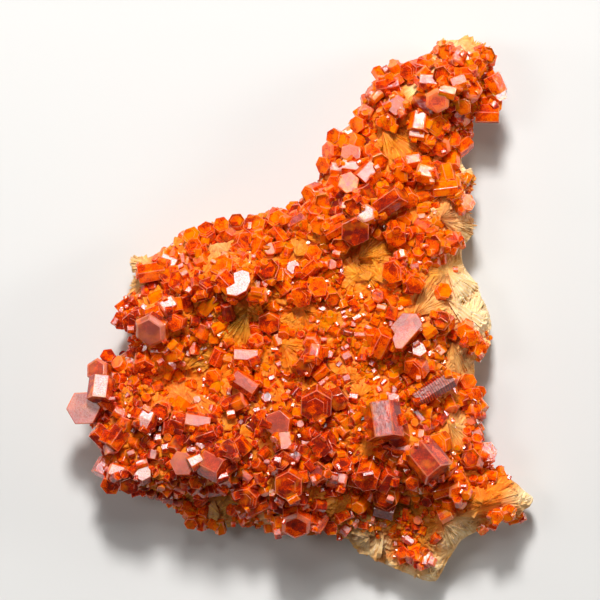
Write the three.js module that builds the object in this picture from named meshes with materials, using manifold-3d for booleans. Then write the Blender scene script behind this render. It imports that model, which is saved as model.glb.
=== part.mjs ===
// Vanadinite on barite: a broken plate of bladed barite, its face grown over with six-sided crystals of
// vanadinite. It lies on the flat of its broken back. Millimetres, +Z up out of the crystal face, +Y towards
// the pointed spire; the origin is on the resting flat.
import * as THREE from "three";
import Module from "manifold-3d";
import { mergeVertices } from "three/addons/utils/BufferGeometryUtils.js";

const wasm = await Module();
wasm.setup();

// Driving dimensions
const RIM_TOP = 6.6; // height of the face at the broken edge
const RIM_UNDER = 3.6; // height of the back at the broken edge
const FACE_RISE = 6.6; // how far the face climbs from the edge to the middle
const FACE_RUN = 4.2; // distance from the edge over which most of that climb happens
const BACK_RUN = 7.0; // distance from the edge at which the back becomes flat
const LEAST_FACE = 4.8; // lowest that a hollow may bring the face
const CELL = 4.0; // spacing of the facets of the rock
const FIELD = { left: -40, right: 40, low: -48, high: 44 }; // the field of facets before the edge is cut
const ROUGHNESS = 0.55; // largest random step between facets
const FAN_RISE = 0.9; // how far a fan of blades stands out of the rock at its root
const FAN_DEPTH = 3.2; // thickness of a fan
const FAN_RIDGE = 0.6; // how far every other blade of a fan stands over the next
const FAN_BLADES = 4; // blades shown in a fan
const GAP = 0.3; // clearance between the rock and a crystal
const BLOCK = 60; // side of the blocks that cut the edge and the crystals

// Where a crystal feels for the rock: rings of points, each with its count and share of the crystal's reach
const SEAT_RINGS = [[6, 0.3], [12, 0.6], [18, 0.85], [24, 1.1]];

const degrees = THREE.MathUtils.degToRad;

// The broken edge of the plate, seen from the crystal side, clockwise from the tip of the spire
const OUTLINE = [
  [23.3, 41.6], [26.9, 42.0], [30.1, 40.3], [30.8, 36.5], [29.4, 32.3], [26.9, 28.8], [26.2, 24.0],
  [25.9, 21.8], [27.4, 20.2], [27.4, 18.6], [26.6, 15.4], [28.0, 11.2], [25.9, 8.0], [26.1, 5.8],
  [28.4, 2.6], [29.1, 0.6], [30.2, -1.4], [30.9, -4.0], [29.8, -7.4], [28.0, -9.6], [28.2, -13.8],
  [28.5, -19.2], [28.2, -22.1], [29.9, -25.0], [30.1, -27.2], [33.3, -28.3], [35.5, -30.2],
  [37.6, -31.9], [36.9, -33.4], [32.6, -35.0], [28.5, -37.1], [25.9, -38.5], [23.8, -42.0],
  [22.1, -45.4], [20.7, -45.4], [17.1, -44.0], [11.9, -41.8], [8.7, -38.9], [4.2, -37.1],
  [-0.6, -36.6], [-6.1, -36.2], [-9.6, -35.5], [-15.0, -36.6], [-19.2, -33.9], [-22.7, -31.2],
  [-29.1, -29.6], [-31.0, -27.2], [-31.0, -23.4], [-33.3, -19.8], [-33.3, -15.0], [-31.4, -10.9],
  [-27.8, -9.0], [-26.2, -6.4], [-28.2, -2.9], [-27.7, 0.3], [-26.1, 3.2], [-26.4, 5.9],
  [-22.4, 7.7], [-17.9, 10.6], [-11.5, 12.6], [-3.8, 13.4], [1.0, 15.5], [3.5, 17.9], [4.5, 22.7],
  [8.0, 26.9], [10.2, 30.7], [12.5, 34.6], [13.2, 37.4], [16.4, 37.6], [16.7, 35.4], [18.6, 36.6],
  [20.8, 38.9],
];

// Knolls and hollows of the face: where, how wide each way, and how far up or down
const RELIEF = [
  { name: "crown", x: -9.6, y: 1.6, wide: 4.6, tall: 4.0, rise: 4.6 },
  { name: "hollow under the crown", x: -8.6, y: -3.8, wide: 4.2, tall: 3.0, rise: -3.2 },
  { name: "north ridge west", x: -12.0, y: 9.8, wide: 8.0, tall: 3.4, rise: 1.6 },
  { name: "north ridge east", x: -0.8, y: 11.2, wide: 6.0, tall: 3.2, rise: 2.4 },
  { name: "saddle brow", x: 8.8, y: 14.4, wide: 5.6, tall: 4.0, rise: 5.0 },
  { name: "hollow under the brow", x: 13.2, y: 9.2, wide: 5.0, tall: 3.8, rise: -4.0 },
  { name: "spire flank", x: 8.0, y: 22.0, wide: 4.4, tall: 5.0, rise: 1.6 },
  { name: "spire bare wall", x: 15.8, y: 23.6, wide: 4.2, tall: 4.6, rise: -2.6 },
  { name: "spire shoulder", x: 15.8, y: 30.6, wide: 5.0, tall: 3.6, rise: 2.4 },
  { name: "spire head", x: 25.0, y: 34.2, wide: 6.0, tall: 5.0, rise: 5.4 },
  { name: "east knoll", x: 16.6, y: 4.6, wide: 4.6, tall: 4.0, rise: 3.2 },
  { name: "plate knoll", x: 16.6, y: -5.6, wide: 5.0, tall: 4.6, rise: 3.4 },
  { name: "west shoulder", x: -23.6, y: -3.6, wide: 6.0, tall: 3.4, rise: 4.2 },
  { name: "west hollow", x: -17.2, y: -10.2, wide: 4.2, tall: 3.0, rise: -4.4 },
  { name: "west lobe", x: -30.4, y: -15.4, wide: 5.0, tall: 6.0, rise: 3.4 },
  { name: "bright hollow", x: -18.6, y: -16.4, wide: 5.4, tall: 3.4, rise: -3.2 },
  { name: "low west knot", x: -28.2, y: -27.0, wide: 5.6, tall: 4.0, rise: 4.0 },
  { name: "ledge", x: -15.0, y: -25.4, wide: 7.0, tall: 3.8, rise: 5.6 },
  { name: "shelf below the ledge", x: -13.4, y: -33.8, wide: 8.6, tall: 3.8, rise: -6.4 },
  { name: "heart", x: -0.6, y: -19.6, wide: 8.0, tall: 6.4, rise: 3.6 },
  { name: "keel", x: 0.0, y: -30.4, wide: 7.0, tall: 5.4, rise: 5.8 },
  { name: "prow", x: 12.8, y: -20.0, wide: 4.8, tall: 4.2, rise: 4.0 },
  { name: "knob", x: 20.4, y: -25.6, wide: 4.8, tall: 4.4, rise: 4.2 },
  { name: "dark hollow", x: 16.2, y: -33.2, wide: 4.6, tall: 3.6, rise: -4.6 },
  { name: "foot", x: 17.0, y: -41.0, wide: 8.0, tall: 4.4, rise: -4.2 },
  { name: "arm", x: 31.6, y: -31.0, wide: 6.0, tall: 3.6, rise: 2.2 },
];

// Fans of barite blades: the point they spread from, their length, the way they face and how wide they open
const FANS = [
  { name: "spire tip", x: 22.4, y: 38.0, length: 3.8, bearing: 48, spread: 95 },
  { name: "spire wall", x: 13.0, y: 27.6, length: 8.4, bearing: 305, spread: 58 },
  { name: "white tooth", x: 23.8, y: 19.6, length: 3.9, bearing: 350, spread: 66 },
  { name: "feather", x: 22.4, y: 13.0, length: 5.2, bearing: 42, spread: 64 },
  { name: "square corner", x: 22.6, y: 12.6, length: 5.3, bearing: 340, spread: 50 },
  { name: "brow fan", x: 9.2, y: 6.6, length: 5.4, bearing: 36, spread: 70 },
  { name: "east fan high", x: 23.6, y: 4.4, length: 5.4, bearing: 314, spread: 52 },
  { name: "east fan low", x: 23.0, y: -1.6, length: 7.2, bearing: 336, spread: 42 },
  { name: "olive fan", x: -8.4, y: -2.0, length: 5.6, bearing: 248, spread: 62 },
  { name: "centre feather", x: -2.8, y: -7.0, length: 5.0, bearing: 318, spread: 96 },
  { name: "west blade", x: -23.6, y: 6.0, length: 3.2, bearing: 212, spread: 100 },
  { name: "hollow fan", x: -18.4, y: -14.4, length: 5.2, bearing: 285, spread: 110 },
  { name: "cream fan", x: 23.6, y: -19.6, length: 5.4, bearing: 312, spread: 60 },
  { name: "arm high", x: 25.6, y: -33.0, length: 9.2, bearing: 20, spread: 40 },
  { name: "arm low", x: 25.2, y: -34.6, length: 10.4, bearing: 12, spread: 32 },
  { name: "foot point", x: 19.4, y: -39.0, length: 5.5, bearing: 288, spread: 56 },
  { name: "pale underside", x: 22.6, y: -35.4, length: 4.6, bearing: 300, spread: 90 },
];

// A crystal seen on its flat end (plate) or on one of its long sides (bar). x and y are its middle, width is
// across its corners and length along its axis. The seen face leans by tilt, towards a bearing; spin is the
// bearing of a corner on a plate, and of the long axis on a bar. Lift is its height over its seat.
const plate = (x, y, width, length, tilt, toward, spin, lift = 0.7) =>
  ({ x, y, width, length, tilt, toward, spin, lift, onEnd: true });
const bar = (x, y, width, length, tilt, toward, spin, lift = 0.7) =>
  ({ x, y, width, length, tilt, toward, spin, lift, onEnd: false });

// Crystals that grew into one another, colony by colony
const COLONIES = {
  spire_tip: [
    plate(23.5, 39.2, 3.2, 2.4, 26, 150, 10), bar(25.1, 38.7, 2.6, 2.6, 20, 90, 75, 0.9),
    bar(27.2, 38.6, 2.0, 2.8, 20, 90, 20, 0.9), bar(28.3, 37.8, 2.6, 2.6, 20, 90, 45),
    plate(29.4, 38.8, 3.2, 2.6, 36, 30, 0),
  ],
  spire_head: [
    bar(25.1, 34.4, 3.0, 2.4, 17, 90, 20, 1.4), plate(23.0, 35.8, 3.4, 2.4, 30, 200, 15),
    plate(27.1, 33.3, 3.8, 2.6, 28, 45, 0, 1.2), bar(23.4, 33.0, 2.4, 2.6, 20, 90, 165, 1.6),
    bar(26.2, 35.9, 2.6, 2.8, 30, 100, 0),
    plate(26.0, 31.4, 3.2, 2.6, 34, 270, 20), plate(21.9, 31.8, 4.2, 2.8, 16, 240, 88, 1.4),
    bar(20.5, 34.8, 3.0, 3.0, 14, 90, 175, 1.2),
  ],
  spire_head_east: [
    bar(31.2, 34.5, 3.4, 3.2, 34, 20, 300), plate(31.4, 33.2, 3.2, 2.8, 30, 10, 20),
    plate(31.0, 31.2, 2.8, 2.4, 28, 40, 10), bar(30.0, 29.8, 3.2, 3.8, 24, 262, 0, 1.0),
  ],
  spire_notch: [plate(18.0, 36.8, 3.4, 3.0, 32, 200, 80, 1.0), bar(19.8, 37.4, 2.4, 2.4, 30, 90, 160)],
  spire_blade_rim: [bar(14.1, 34.2, 3.0, 3.8, 20, 120, 8, 1.0), bar(12.1, 33.2, 2.6, 2.6, 20, 92, 60)],
  spire_hexagon: [
    plate(15.7, 31.0, 3.4, 3.0, 14, 180, 80, 1.5), plate(14.2, 28.8, 3.2, 2.4, 30, 240, 30),
  ],
  spire_west: [
    plate(8.3, 23.4, 3.4, 2.4, 12, 150, 88, 1.6), plate(7.4, 25.2, 2.8, 2.4, 30, 150, 20),
    bar(8.0, 26.8, 2.2, 2.4, 20, 92, 40), plate(5.9, 26.0, 2.8, 2.4, 36, 160, 20),
    plate(5.1, 23.9, 3.2, 2.4, 50, 180, 90), plate(9.6, 28.2, 2.8, 2.4, 30, 190, 30),
    bar(10.6, 30.1, 2.4, 2.2, 22, 96, 150), bar(6.2, 21.0, 2.8, 2.6, 14, 92, 170, 1.0),
    bar(8.2, 21.2, 2.8, 3.0, 14, 92, 172, 1.2), plate(4.3, 21.7, 3.0, 2.2, 44, 190, 0),
    bar(10.8, 20.0, 3.8, 3.2, 14, 92, 48, 1.5), plate(7.8, 18.4, 3.6, 2.8, 12, 110, 80, 1.2),
  ],
  spire_middle: [
    bar(19.0, 28.2, 3.6, 3.0, 16, 92, 80, 1.3), plate(21.4, 28.0, 3.6, 2.6, 30, 330, 20),
    bar(18.6, 26.2, 2.0, 2.4, 18, 90, 170, 1.5), bar(21.0, 25.8, 2.4, 3.2, 26, 120, 58),
    plate(22.6, 24.8, 3.6, 3.0, 24, 240, 40),
  ],
  spire_low: [
    bar(20.0, 20.2, 3.4, 3.0, 14, 92, 165, 1.5),
    plate(21.8, 20.7, 2.6, 2.4, 24, 80, 30), bar(23.4, 20.2, 3.0, 2.8, 22, 60, 100),
    bar(23.2, 17.8, 2.8, 4.0, 30, 100, 5), plate(24.8, 16.6, 2.6, 2.4, 30, 130, 20),
    plate(26.2, 15.4, 3.0, 2.6, 30, 20, 0),
  ],
  spire_mite: [plate(16.1, 20.5, 3.4, 2.6, 30, 250, 20)],
  saddle_point: [plate(2.3, 17.1, 3.4, 2.8, 40, 205, 50), plate(4.0, 16.2, 3.2, 2.6, 30, 250, 20)],
  saddle_prism: [bar(14.4, 15.9, 4.0, 4.8, 26, 200, 32, 1.5)],
  saddle_brow: [
    plate(8.6, 15.0, 3.6, 3.0, 22, 240, 20, 1.4), plate(10.4, 13.5, 3.4, 2.4, 21, 92, 85, 1.8),
    plate(8.8, 11.4, 5.0, 3.2, 24, 265, 88, 1.6), plate(6.6, 9.2, 3.4, 2.6, 38, 250, 10),
    bar(5.3, 11.3, 2.8, 3.2, 18, 130, 30, 1.2), plate(3.6, 12.0, 3.2, 2.8, 28, 200, 40),
  ],
  north_ridge_east: [
    bar(-0.6, 12.6, 2.4, 3.2, 18, 110, 30, 1.0), plate(-3.4, 12.4, 3.2, 2.6, 32, 120, 20),
    plate(1.4, 13.8, 3.0, 2.4, 36, 130, 0), bar(-3.2, 10.4, 2.4, 3.0, 30, 60, 120),
  ],
  north_ridge_middle: [
    plate(-7.2, 11.4, 3.8, 2.8, 34, 100, 20), plate(-8.9, 9.1, 3.4, 2.4, 24, 30, 10),
    bar(-6.6, 8.8, 3.0, 3.4, 30, 200, 60),
  ],
  north_ridge_west: [
    plate(-17.0, 9.9, 3.2, 2.4, 36, 130, 10), plate(-14.8, 10.7, 3.2, 2.4, 34, 110, 40),
    plate(-12.4, 11.5, 3.0, 2.4, 32, 100, 20), plate(-16.6, 8.2, 3.0, 2.4, 30, 140, 0),
  ],
  crown: [
    plate(-9.3, 2.2, 4.8, 3.0, 20, 94, 76, 2.6), bar(-11.6, 2.8, 3.4, 3.6, 26, 60, 130, 1.8),
    bar(-6.8, 0.8, 2.6, 3.4, 24, 250, 4, 1.6), plate(-12.2, 4.8, 4.0, 3.0, 32, 110, 30, 1.0),
    plate(-15.2, 1.8, 4.0, 3.6, 38, 200, 70, 1.4),
  ],
  centre_north: [
    plate(-4.7, 4.3, 4.0, 3.2, 26, 130, 10, 1.2), bar(-2.8, 2.4, 2.6, 3.0, 26, 40, 130),
    plate(0.2, 0.9, 3.8, 2.8, 20, 260, 20, 0.8), plate(2.8, 1.8, 3.6, 2.6, 18, 60, 10, 0.8),
  ],
  valley_prism: [bar(1.6, 5.0, 2.6, 3.8, 24, 200, 38, 1.0)],
  east_knoll: [
    plate(15.2, 4.6, 4.0, 3.0, 24, 200, 20, 1.2), plate(18.1, 3.0, 3.4, 3.0, 20, 300, 60, 1.2),
    plate(16.2, 6.8, 2.6, 2.6, 12, 160, 90, 1.4),
  ],
  valley_hexagon: [plate(15.3, 10.6, 3.6, 2.8, 34, 265, 40, 1.8)],
  east_pair: [bar(23.9, 9.2, 3.0, 3.4, 18, 120, 26, 0.8), plate(21.4, 8.8, 3.8, 2.8, 20, 200, 10, 0.8)],
  east_studs: [plate(22.6, -3.4, 3.4, 2.6, 12, 150, 50, 0.8)],
  east_plate: [
    plate(16.8, -5.2, 6.0, 3.0, 13, 110, 58, 2.4), bar(13.0, -6.8, 3.6, 4.4, 30, 250, 66, 1.4),
    plate(18.9, -8.1, 2.6, 2.6, 18, 92, 40, 1.4), plate(18.6, -10.6, 4.2, 2.2, 46, 232, 30, 1.0),
  ],
  east_rim_low: [plate(26.8, -5.8, 3.0, 2.4, 26, 320, 0), plate(28.4, -7.4, 2.8, 2.4, 36, 330, 20)],
  striped_prism: [bar(21.2, -14.1, 3.2, 6.8, 11, 92, 32, 1.9)],
  east_beads: [plate(27.4, -15.3, 2.8, 2.4, 40, 0, 0), plate(27.7, -17.4, 2.6, 2.2, 40, 10, 30)],
  north_west_corner: [
    bar(-23.6, 4.4, 3.4, 4.4, 26, 270, 12, 0.9), bar(-21.0, 6.0, 2.8, 2.6, 19, 92, 152, 1.2),
    plate(-20.9, 3.7, 3.0, 2.6, 20, 120, 10), plate(-18.8, 2.6, 4.0, 3.0, 26, 130, 20, 0.9),
  ],
  west_shoulder: [
    plate(-23.5, -4.6, 5.8, 2.6, 30, 232, 30, 1.8), bar(-20.9, -1.0, 3.4, 2.8, 19, 92, 35, 1.5),
    bar(-22.9, -2.2, 3.0, 2.6, 30, 260, 35, 1.2), plate(-26.0, -3.4, 4.0, 3.2, 32, 220, 40, 1.8),
    plate(-28.0, -3.2, 3.2, 2.8, 30, 190, 0, 1.4), bar(-27.9, -1.0, 2.8, 2.8, 28, 130, 40, 1.0),
  ],
  west_eaves: [
    plate(-24.8, -10.2, 3.8, 2.6, 40, 265, 30, 1.2), plate(-20.1, -8.0, 3.2, 3.0, 28, 250, 20, 1.0),
    plate(-22.3, -8.7, 3.2, 2.6, 36, 280, 0, 0.8),
  ],
  west_point: [
    plate(-34.3, -17.3, 5.8, 2.4, 15, 170, 2, 2.0), bar(-31.7, -14.2, 4.3, 3.8, 19, 92, 84, 3.0),
    plate(-32.0, -11.4, 4.0, 3.2, 24, 150, 30, 1.8),
  ],
  west_under: [
    bar(-31.6, -21.9, 3.4, 3.6, 30, 240, 130, 0.8), bar(-29.4, -22.0, 3.6, 3.4, 26, 120, 60, 1.2),
  ],
  west_square: [bar(-24.6, -19.2, 4.0, 3.0, 16, 92, 66, 1.8), plate(-22.6, -18.3, 3.4, 2.6, 20, 60, 40)],
  low_west_knot: [
    bar(-31.5, -26.8, 3.0, 2.8, 20, 95, 65, 0.9), bar(-29.2, -27.6, 3.4, 2.8, 19, 94, 160, 1.6),
    plate(-30.0, -29.1, 3.4, 2.8, 36, 240, 10), plate(-27.2, -28.9, 3.4, 2.8, 36, 270, 30, 0.8),
    plate(-25.0, -27.8, 3.0, 3.0, 19, 92, 30, 1.4),
  ],
  ledge: [
    plate(-18.2, -26.0, 4.4, 2.6, 20, 150, 60, 1.8), bar(-16.5, -25.6, 2.8, 2.2, 19, 92, 30, 2.6),
    bar(-13.6, -26.2, 4.8, 3.8, 26, 130, 150, 1.8), plate(-12.2, -28.2, 3.4, 2.4, 30, 120, 20, 1.4),
    plate(-11.0, -24.0, 3.4, 2.8, 22, 110, 40, 1.4),
  ],
  middle_prisms: [
    bar(-16.2, -19.5, 3.4, 4.0, 14, 92, 170, 1.7), bar(-18.9, -19.4, 3.2, 3.6, 34, 250, 160, 1.0),
    bar(-15.0, -21.3, 2.8, 3.8, 30, 260, 28, 1.2),
  ],
  heart_west: [
    bar(-8.7, -13.4, 3.8, 4.2, 15, 92, 145, 1.6), bar(-10.1, -16.4, 3.0, 3.6, 26, 250, 30, 1.0),
    plate(-8.9, -11.2, 2.8, 2.6, 24, 250, 10), bar(-8.6, -9.0, 3.2, 3.8, 14, 92, 177, 1.4),
    plate(-7.1, -6.7, 2.6, 2.4, 30, 60, 35, 1.2),
  ],
  centre_dark: [plate(1.1, -10.0, 3.6, 3.2, 36, 240, 0, 1.0), bar(2.4, -8.4, 3.0, 2.2, 18, 92, 80, 1.5)],
  heart_hexagon: [plate(2.6, -16.4, 5.6, 3.4, 17, 265, 88, 2.0)],
  heart_west_prisms: [
    plate(-3.2, -19.4, 4.4, 3.2, 15, 200, 80, 2.0), bar(-2.3, -22.5, 3.4, 2.8, 14, 92, 98, 2.0),
    bar(-1.8, -24.4, 3.0, 3.2, 38, 262, 130, 1.2), plate(-3.4, -26.2, 3.0, 2.6, 32, 70, 50, 1.6),
    plate(-1.6, -29.0, 5.0, 3.0, 20, 240, 30, 2.2),
  ],
  heart_notched: [plate(3.6, -22.7, 3.8, 2.8, 14, 250, 40, 2.0)],
  keel_west: [plate(-8.0, -31.0, 4.2, 3.2, 38, 230, 70, 1.0)],
  keel: [
    plate(-0.6, -35.2, 5.2, 3.6, 34, 268, 30, 1.6), bar(-2.8, -36.0, 3.6, 2.8, 20, 130, 100, 0.8),
    bar(2.9, -35.4, 2.8, 3.0, 20, 100, 60, 1.4),
  ],
  keel_east: [
    plate(3.0, -27.4, 3.6, 2.8, 22, 160, 20, 1.8), bar(5.8, -28.4, 3.0, 3.4, 16, 92, 168, 1.8),
    plate(6.4, -26.2, 3.4, 2.6, 24, 60, 10, 1.4),
  ],
  prow: [bar(13.2, -19.2, 6.0, 5.8, 14, 110, 98, 2.2)],
  prow_low: [
    plate(10.8, -27.8, 4.2, 3.6, 34, 250, 20, 1.8), bar(14.0, -28.6, 3.4, 3.6, 30, 250, 60, 1.6),
    plate(13.8, -31.0, 4.4, 3.0, 30, 240, 40, 1.4),
  ],
  knob: [bar(20.2, -25.8, 6.4, 5.6, 22, 120, 128, 2.4)],
  arm_root: [plate(25.2, -30.2, 3.4, 2.8, 24, 260, 30, 1.0)],
  east_corner: [plate(29.4, -24.5, 3.6, 2.8, 34, 20, 60), plate(27.6, -25.5, 3.4, 2.6, 26, 150, 10)],
  arm_south: [plate(33.2, -34.1, 2.6, 2.2, 34, 280, 20), plate(31.5, -34.3, 2.4, 2.2, 24, 250, 0)],
  foot_studs: [
    plate(16.8, -40.7, 2.2, 2.0, 34, 150, 10), plate(18.5, -41.3, 2.2, 2.0, 30, 60, 0),
    bar(20.2, -41.5, 2.0, 2.2, 21, 90, 80, 0.8),
  ],
};

// Evenly spread numbers from 0 to 1, the same ones each time for a seed
function dice(seed) {
  let state = seed >>> 0;
  return () => {
    state = (Math.imul(state, 1664525) + 1013904223) >>> 0;
    return state / 2 ** 32;
  };
}

function solidOf(geometry) {
  const bare = geometry.clone();
  bare.deleteAttribute("normal");
  bare.deleteAttribute("uv");
  const merged = mergeVertices(bare, 1e-4);
  return new wasm.Manifold(new wasm.Mesh({
    numProp: 3,
    vertProperties: merged.attributes.position.array,
    triVerts: new Uint32Array(merged.index.array),
  }));
}

function solidFrom(points, triangles) {
  const geometry = new THREE.BufferGeometry();
  geometry.setAttribute("position", new THREE.Float32BufferAttribute(points.flat(), 3));
  geometry.setIndex(triangles.flat());
  return solidOf(geometry);
}

function geometryOf(solid) {
  const { vertProperties, triVerts } = solid.getMesh();
  const geometry = new THREE.BufferGeometry();
  geometry.setAttribute("position", new THREE.BufferAttribute(new Float32Array(vertProperties), 3));
  geometry.setIndex(new THREE.BufferAttribute(new Uint32Array(triVerts), 1));
  const flat = geometry.toNonIndexed();
  flat.computeVertexNormals();
  return flat;
}

// Distance of a point inside the broken edge; negative outside it
function distanceInside(x, y) {
  let nearest = Infinity;
  let inside = false;
  for (let i = 0; i < OUTLINE.length; i++) {
    const [ax, ay] = OUTLINE[i];
    const [bx, by] = OUTLINE[(i + 1) % OUTLINE.length];
    const along = ((x - ax) * (bx - ax) + (y - ay) * (by - ay)) / ((bx - ax) ** 2 + (by - ay) ** 2);
    const share = THREE.MathUtils.clamp(along, 0, 1);
    nearest = Math.min(nearest, Math.hypot(x - ax - share * (bx - ax), y - ay - share * (by - ay)));
    if (ay > y !== by > y && x < ax + ((y - ay) / (by - ay)) * (bx - ax)) inside = !inside;
  }
  return inside ? nearest : -nearest;
}

// Knolls and hollows fade towards the edge, where a third of them is left
function faceHeight(x, y) {
  const inside = Math.max(-1.5, distanceInside(x, y));
  let height = RIM_TOP + FACE_RISE * (1 - Math.exp(-inside / FACE_RUN));
  const strength = THREE.MathUtils.clamp(inside / 3, 0.35, 1);
  for (const k of RELIEF) {
    height += k.rise * strength * Math.exp(-(((x - k.x) / k.wide) ** 2) - ((y - k.y) / k.tall) ** 2);
  }
  return Math.max(height, LEAST_FACE);
}

function backHeight(x, y) {
  return Math.max(0, RIM_UNDER * (1 - distanceInside(x, y) / BACK_RUN));
}

// The plate: a field of facets whose upper and lower faces follow the relief, cut to the broken edge
function rockPlate() {
  const columns = (FIELD.right - FIELD.left) / CELL;
  const rows = (FIELD.high - FIELD.low) / CELL;
  const roll = dice(77);
  const points = [];
  for (let j = 0; j <= rows; j++) {
    for (let i = 0; i <= columns; i++) {
      const x = FIELD.left + i * CELL;
      const y = FIELD.low + j * CELL;
      const rough = (2 * roll() - 1) * ROUGHNESS;
      const back = backHeight(x, y);
      points.push([x, y, faceHeight(x, y) + rough], [x, y, back > 0 ? Math.max(0, back + rough) : 0]);
    }
  }
  const face = (i, j) => 2 * (j * (columns + 1) + i);
  const back = (i, j) => face(i, j) + 1;
  const triangles = [];
  const quad = (a, b, c, d) => triangles.push([a, b, c], [a, c, d]);
  for (let j = 0; j < rows; j++) {
    for (let i = 0; i < columns; i++) {
      const ring = [[i, j], [i + 1, j], [i + 1, j + 1], [i, j + 1]];
      if ((i + j) % 2 === 0) ring.push(ring.shift());
      quad(...ring.map(([u, v]) => face(u, v)));
      quad(...ring.map(([u, v]) => back(u, v)).reverse());
    }
  }
  for (let i = 0; i < columns; i++) {
    quad(back(i, 0), back(i + 1, 0), face(i + 1, 0), face(i, 0));
    quad(face(i, rows), face(i + 1, rows), back(i + 1, rows), back(i, rows));
  }
  for (let j = 0; j < rows; j++) {
    quad(face(0, j), face(0, j + 1), back(0, j + 1), back(0, j));
    quad(back(columns, j), back(columns, j + 1), face(columns, j + 1), face(columns, j));
  }
  const edge = new THREE.Shape(OUTLINE.map(([x, y]) => new THREE.Vector2(x, y)));
  const cutter = new THREE.ExtrudeGeometry(edge, { depth: BLOCK, bevelEnabled: false });
  cutter.translate(0, 0, -BLOCK / 3);
  return solidFrom(points, triangles).intersect(solidOf(cutter));
}

// One fan of blades: a sector with a ridged back that follows the face and stands a little out of it
function bladeFan(fan) {
  const roll = dice(Math.round(fan.x * 10 + fan.y * 100 + 9000));
  const root = faceHeight(fan.x, fan.y);
  const points = [[fan.x, fan.y, root + FAN_RISE], [fan.x, fan.y, root - FAN_DEPTH]];
  for (let k = 0; k <= FAN_BLADES; k++) {
    const bearing = degrees(fan.bearing + fan.spread * (k / FAN_BLADES - 0.5));
    const reach = fan.length * (0.88 + 0.2 * roll());
    const x = fan.x + reach * Math.cos(bearing);
    const y = fan.y + reach * Math.sin(bearing);
    const top = faceHeight(x, y) + FAN_RIDGE * (1 + (k % 2) + 0.5 * roll());
    points.push([x, y, top], [x, y, Math.max(RIM_UNDER / 3, top - FAN_DEPTH)]);
  }
  const upper = (k) => 2 + 2 * k;
  const lower = (k) => 3 + 2 * k;
  const last = FAN_BLADES;
  const triangles = [];
  for (let k = 0; k < last; k++) {
    triangles.push([0, upper(k), upper(k + 1)], [1, lower(k + 1), lower(k)]);
    triangles.push([upper(k), lower(k), lower(k + 1)], [upper(k), lower(k + 1), upper(k + 1)]);
  }
  triangles.push([0, 1, lower(0)], [0, lower(0), upper(0)]);
  triangles.push([0, upper(last), lower(last)], [0, lower(last), 1]);
  return solidFrom(points, triangles);
}

// Height of the rock's face over a point; past its edge, the height met first on the way by each stop
function makeGround(geometry) {
  const mesh = new THREE.Mesh(geometry, new THREE.MeshBasicMaterial({ side: THREE.DoubleSide }));
  const down = new THREE.Vector3(0, 0, -1);
  return (x, y, stops) => {
    const from = new THREE.Vector3(x, y, BLOCK);
    for (const stop of stops) {
      const to = new THREE.Vector3(stop.x, stop.y, BLOCK);
      for (let step = 0; step <= 10; step++) {
        const spot = new THREE.Vector3().lerpVectors(from, to, step / 10);
        const hit = new THREE.Raycaster(spot, down).intersectObject(mesh)[0];
        if (hit) return hit.point.z;
      }
      from.copy(to);
    }
    return RIM_TOP;
  };
}

// The plane that lies just over the rock under a crystal: its slopes, and its height below the middle
function seatOf(c, ground, home) {
  const stops = [c, home];
  const reach = Math.hypot(c.width, c.length) / 2;
  const spots = [{ dx: 0, dy: 0, z: ground(c.x, c.y, stops) }];
  for (const [count, share] of SEAT_RINGS) {
    for (let k = 0; k < count; k++) {
      const bearing = (2 * Math.PI * k) / count;
      const dx = reach * share * Math.cos(bearing);
      const dy = reach * share * Math.sin(bearing);
      spots.push({ dx, dy, z: ground(c.x + dx, c.y + dy, stops) });
    }
  }
  const total = (value) => spots.reduce((sum, s) => sum + value(s), 0);
  const slopeX = total((s) => s.z * s.dx) / total((s) => s.dx * s.dx);
  const slopeY = total((s) => s.z * s.dy) / total((s) => s.dy * s.dy);
  const height = Math.max(...spots.map((s) => s.z - slopeX * s.dx - slopeY * s.dy)) + GAP;
  return { height, slopeX, slopeY };
}

// A six-sided prism in its place over its seat
function prismSolid(c, seat) {
  const tilt = degrees(c.tilt);
  const toward = degrees(c.toward);
  const seen = new THREE.Vector3(Math.cos(toward), Math.sin(toward), 0).multiplyScalar(Math.sin(tilt));
  seen.z = Math.cos(tilt);
  const spin = new THREE.Vector3(Math.cos(degrees(c.spin)), Math.sin(degrees(c.spin)), 0);
  spin.addScaledVector(seen, -spin.dot(seen)).normalize();
  const side = new THREE.Vector3().crossVectors(seen, spin);
  const turned = new THREE.Matrix4();
  if (c.onEnd) turned.makeBasis(spin, side, seen);
  else turned.makeBasis(side, seen, spin);
  const centre = new THREE.Vector2();
  const corners = [0, 60, 120, 180, 240, 300].map((bearing) =>
    new THREE.Vector2(c.width / 2, 0).rotateAround(centre, degrees(bearing)));
  const hexagon = new THREE.Shape(corners);
  const prism = new THREE.ExtrudeGeometry(hexagon, { depth: c.length, bevelEnabled: false });
  prism.translate(0, 0, -c.length / 2);
  prism.applyMatrix4(turned);
  prism.translate(c.x, c.y, seat.height + c.lift);
  return solidOf(prism);
}

// The block of everything below a seat
function belowSeat(c, seat) {
  const up = new THREE.Vector3(-seat.slopeX, -seat.slopeY, 1).normalize();
  const block = new THREE.BoxGeometry(BLOCK, BLOCK, BLOCK);
  block.translate(0, 0, -BLOCK / 2);
  block.applyQuaternion(new THREE.Quaternion().setFromUnitVectors(new THREE.Vector3(0, 0, 1), up));
  block.translate(c.x, c.y, seat.height);
  return solidOf(block);
}

// A colony: its crystals, each cut off just over the rock, grown together
function colonySolid(crystals, ground) {
  const cut = crystals.map((c) => {
    const seat = seatOf(c, ground, crystals[0]);
    return prismSolid(c, seat).subtract(belowSeat(c, seat));
  });
  return cut.reduce((sum, next) => sum.add(next));
}

function piece(name, solid, color, roughness) {
  const look = new THREE.MeshStandardMaterial({ color, roughness, metalness: 0 });
  const mesh = new THREE.Mesh(geometryOf(solid), look);
  mesh.name = name;
  return mesh;
}

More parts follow.
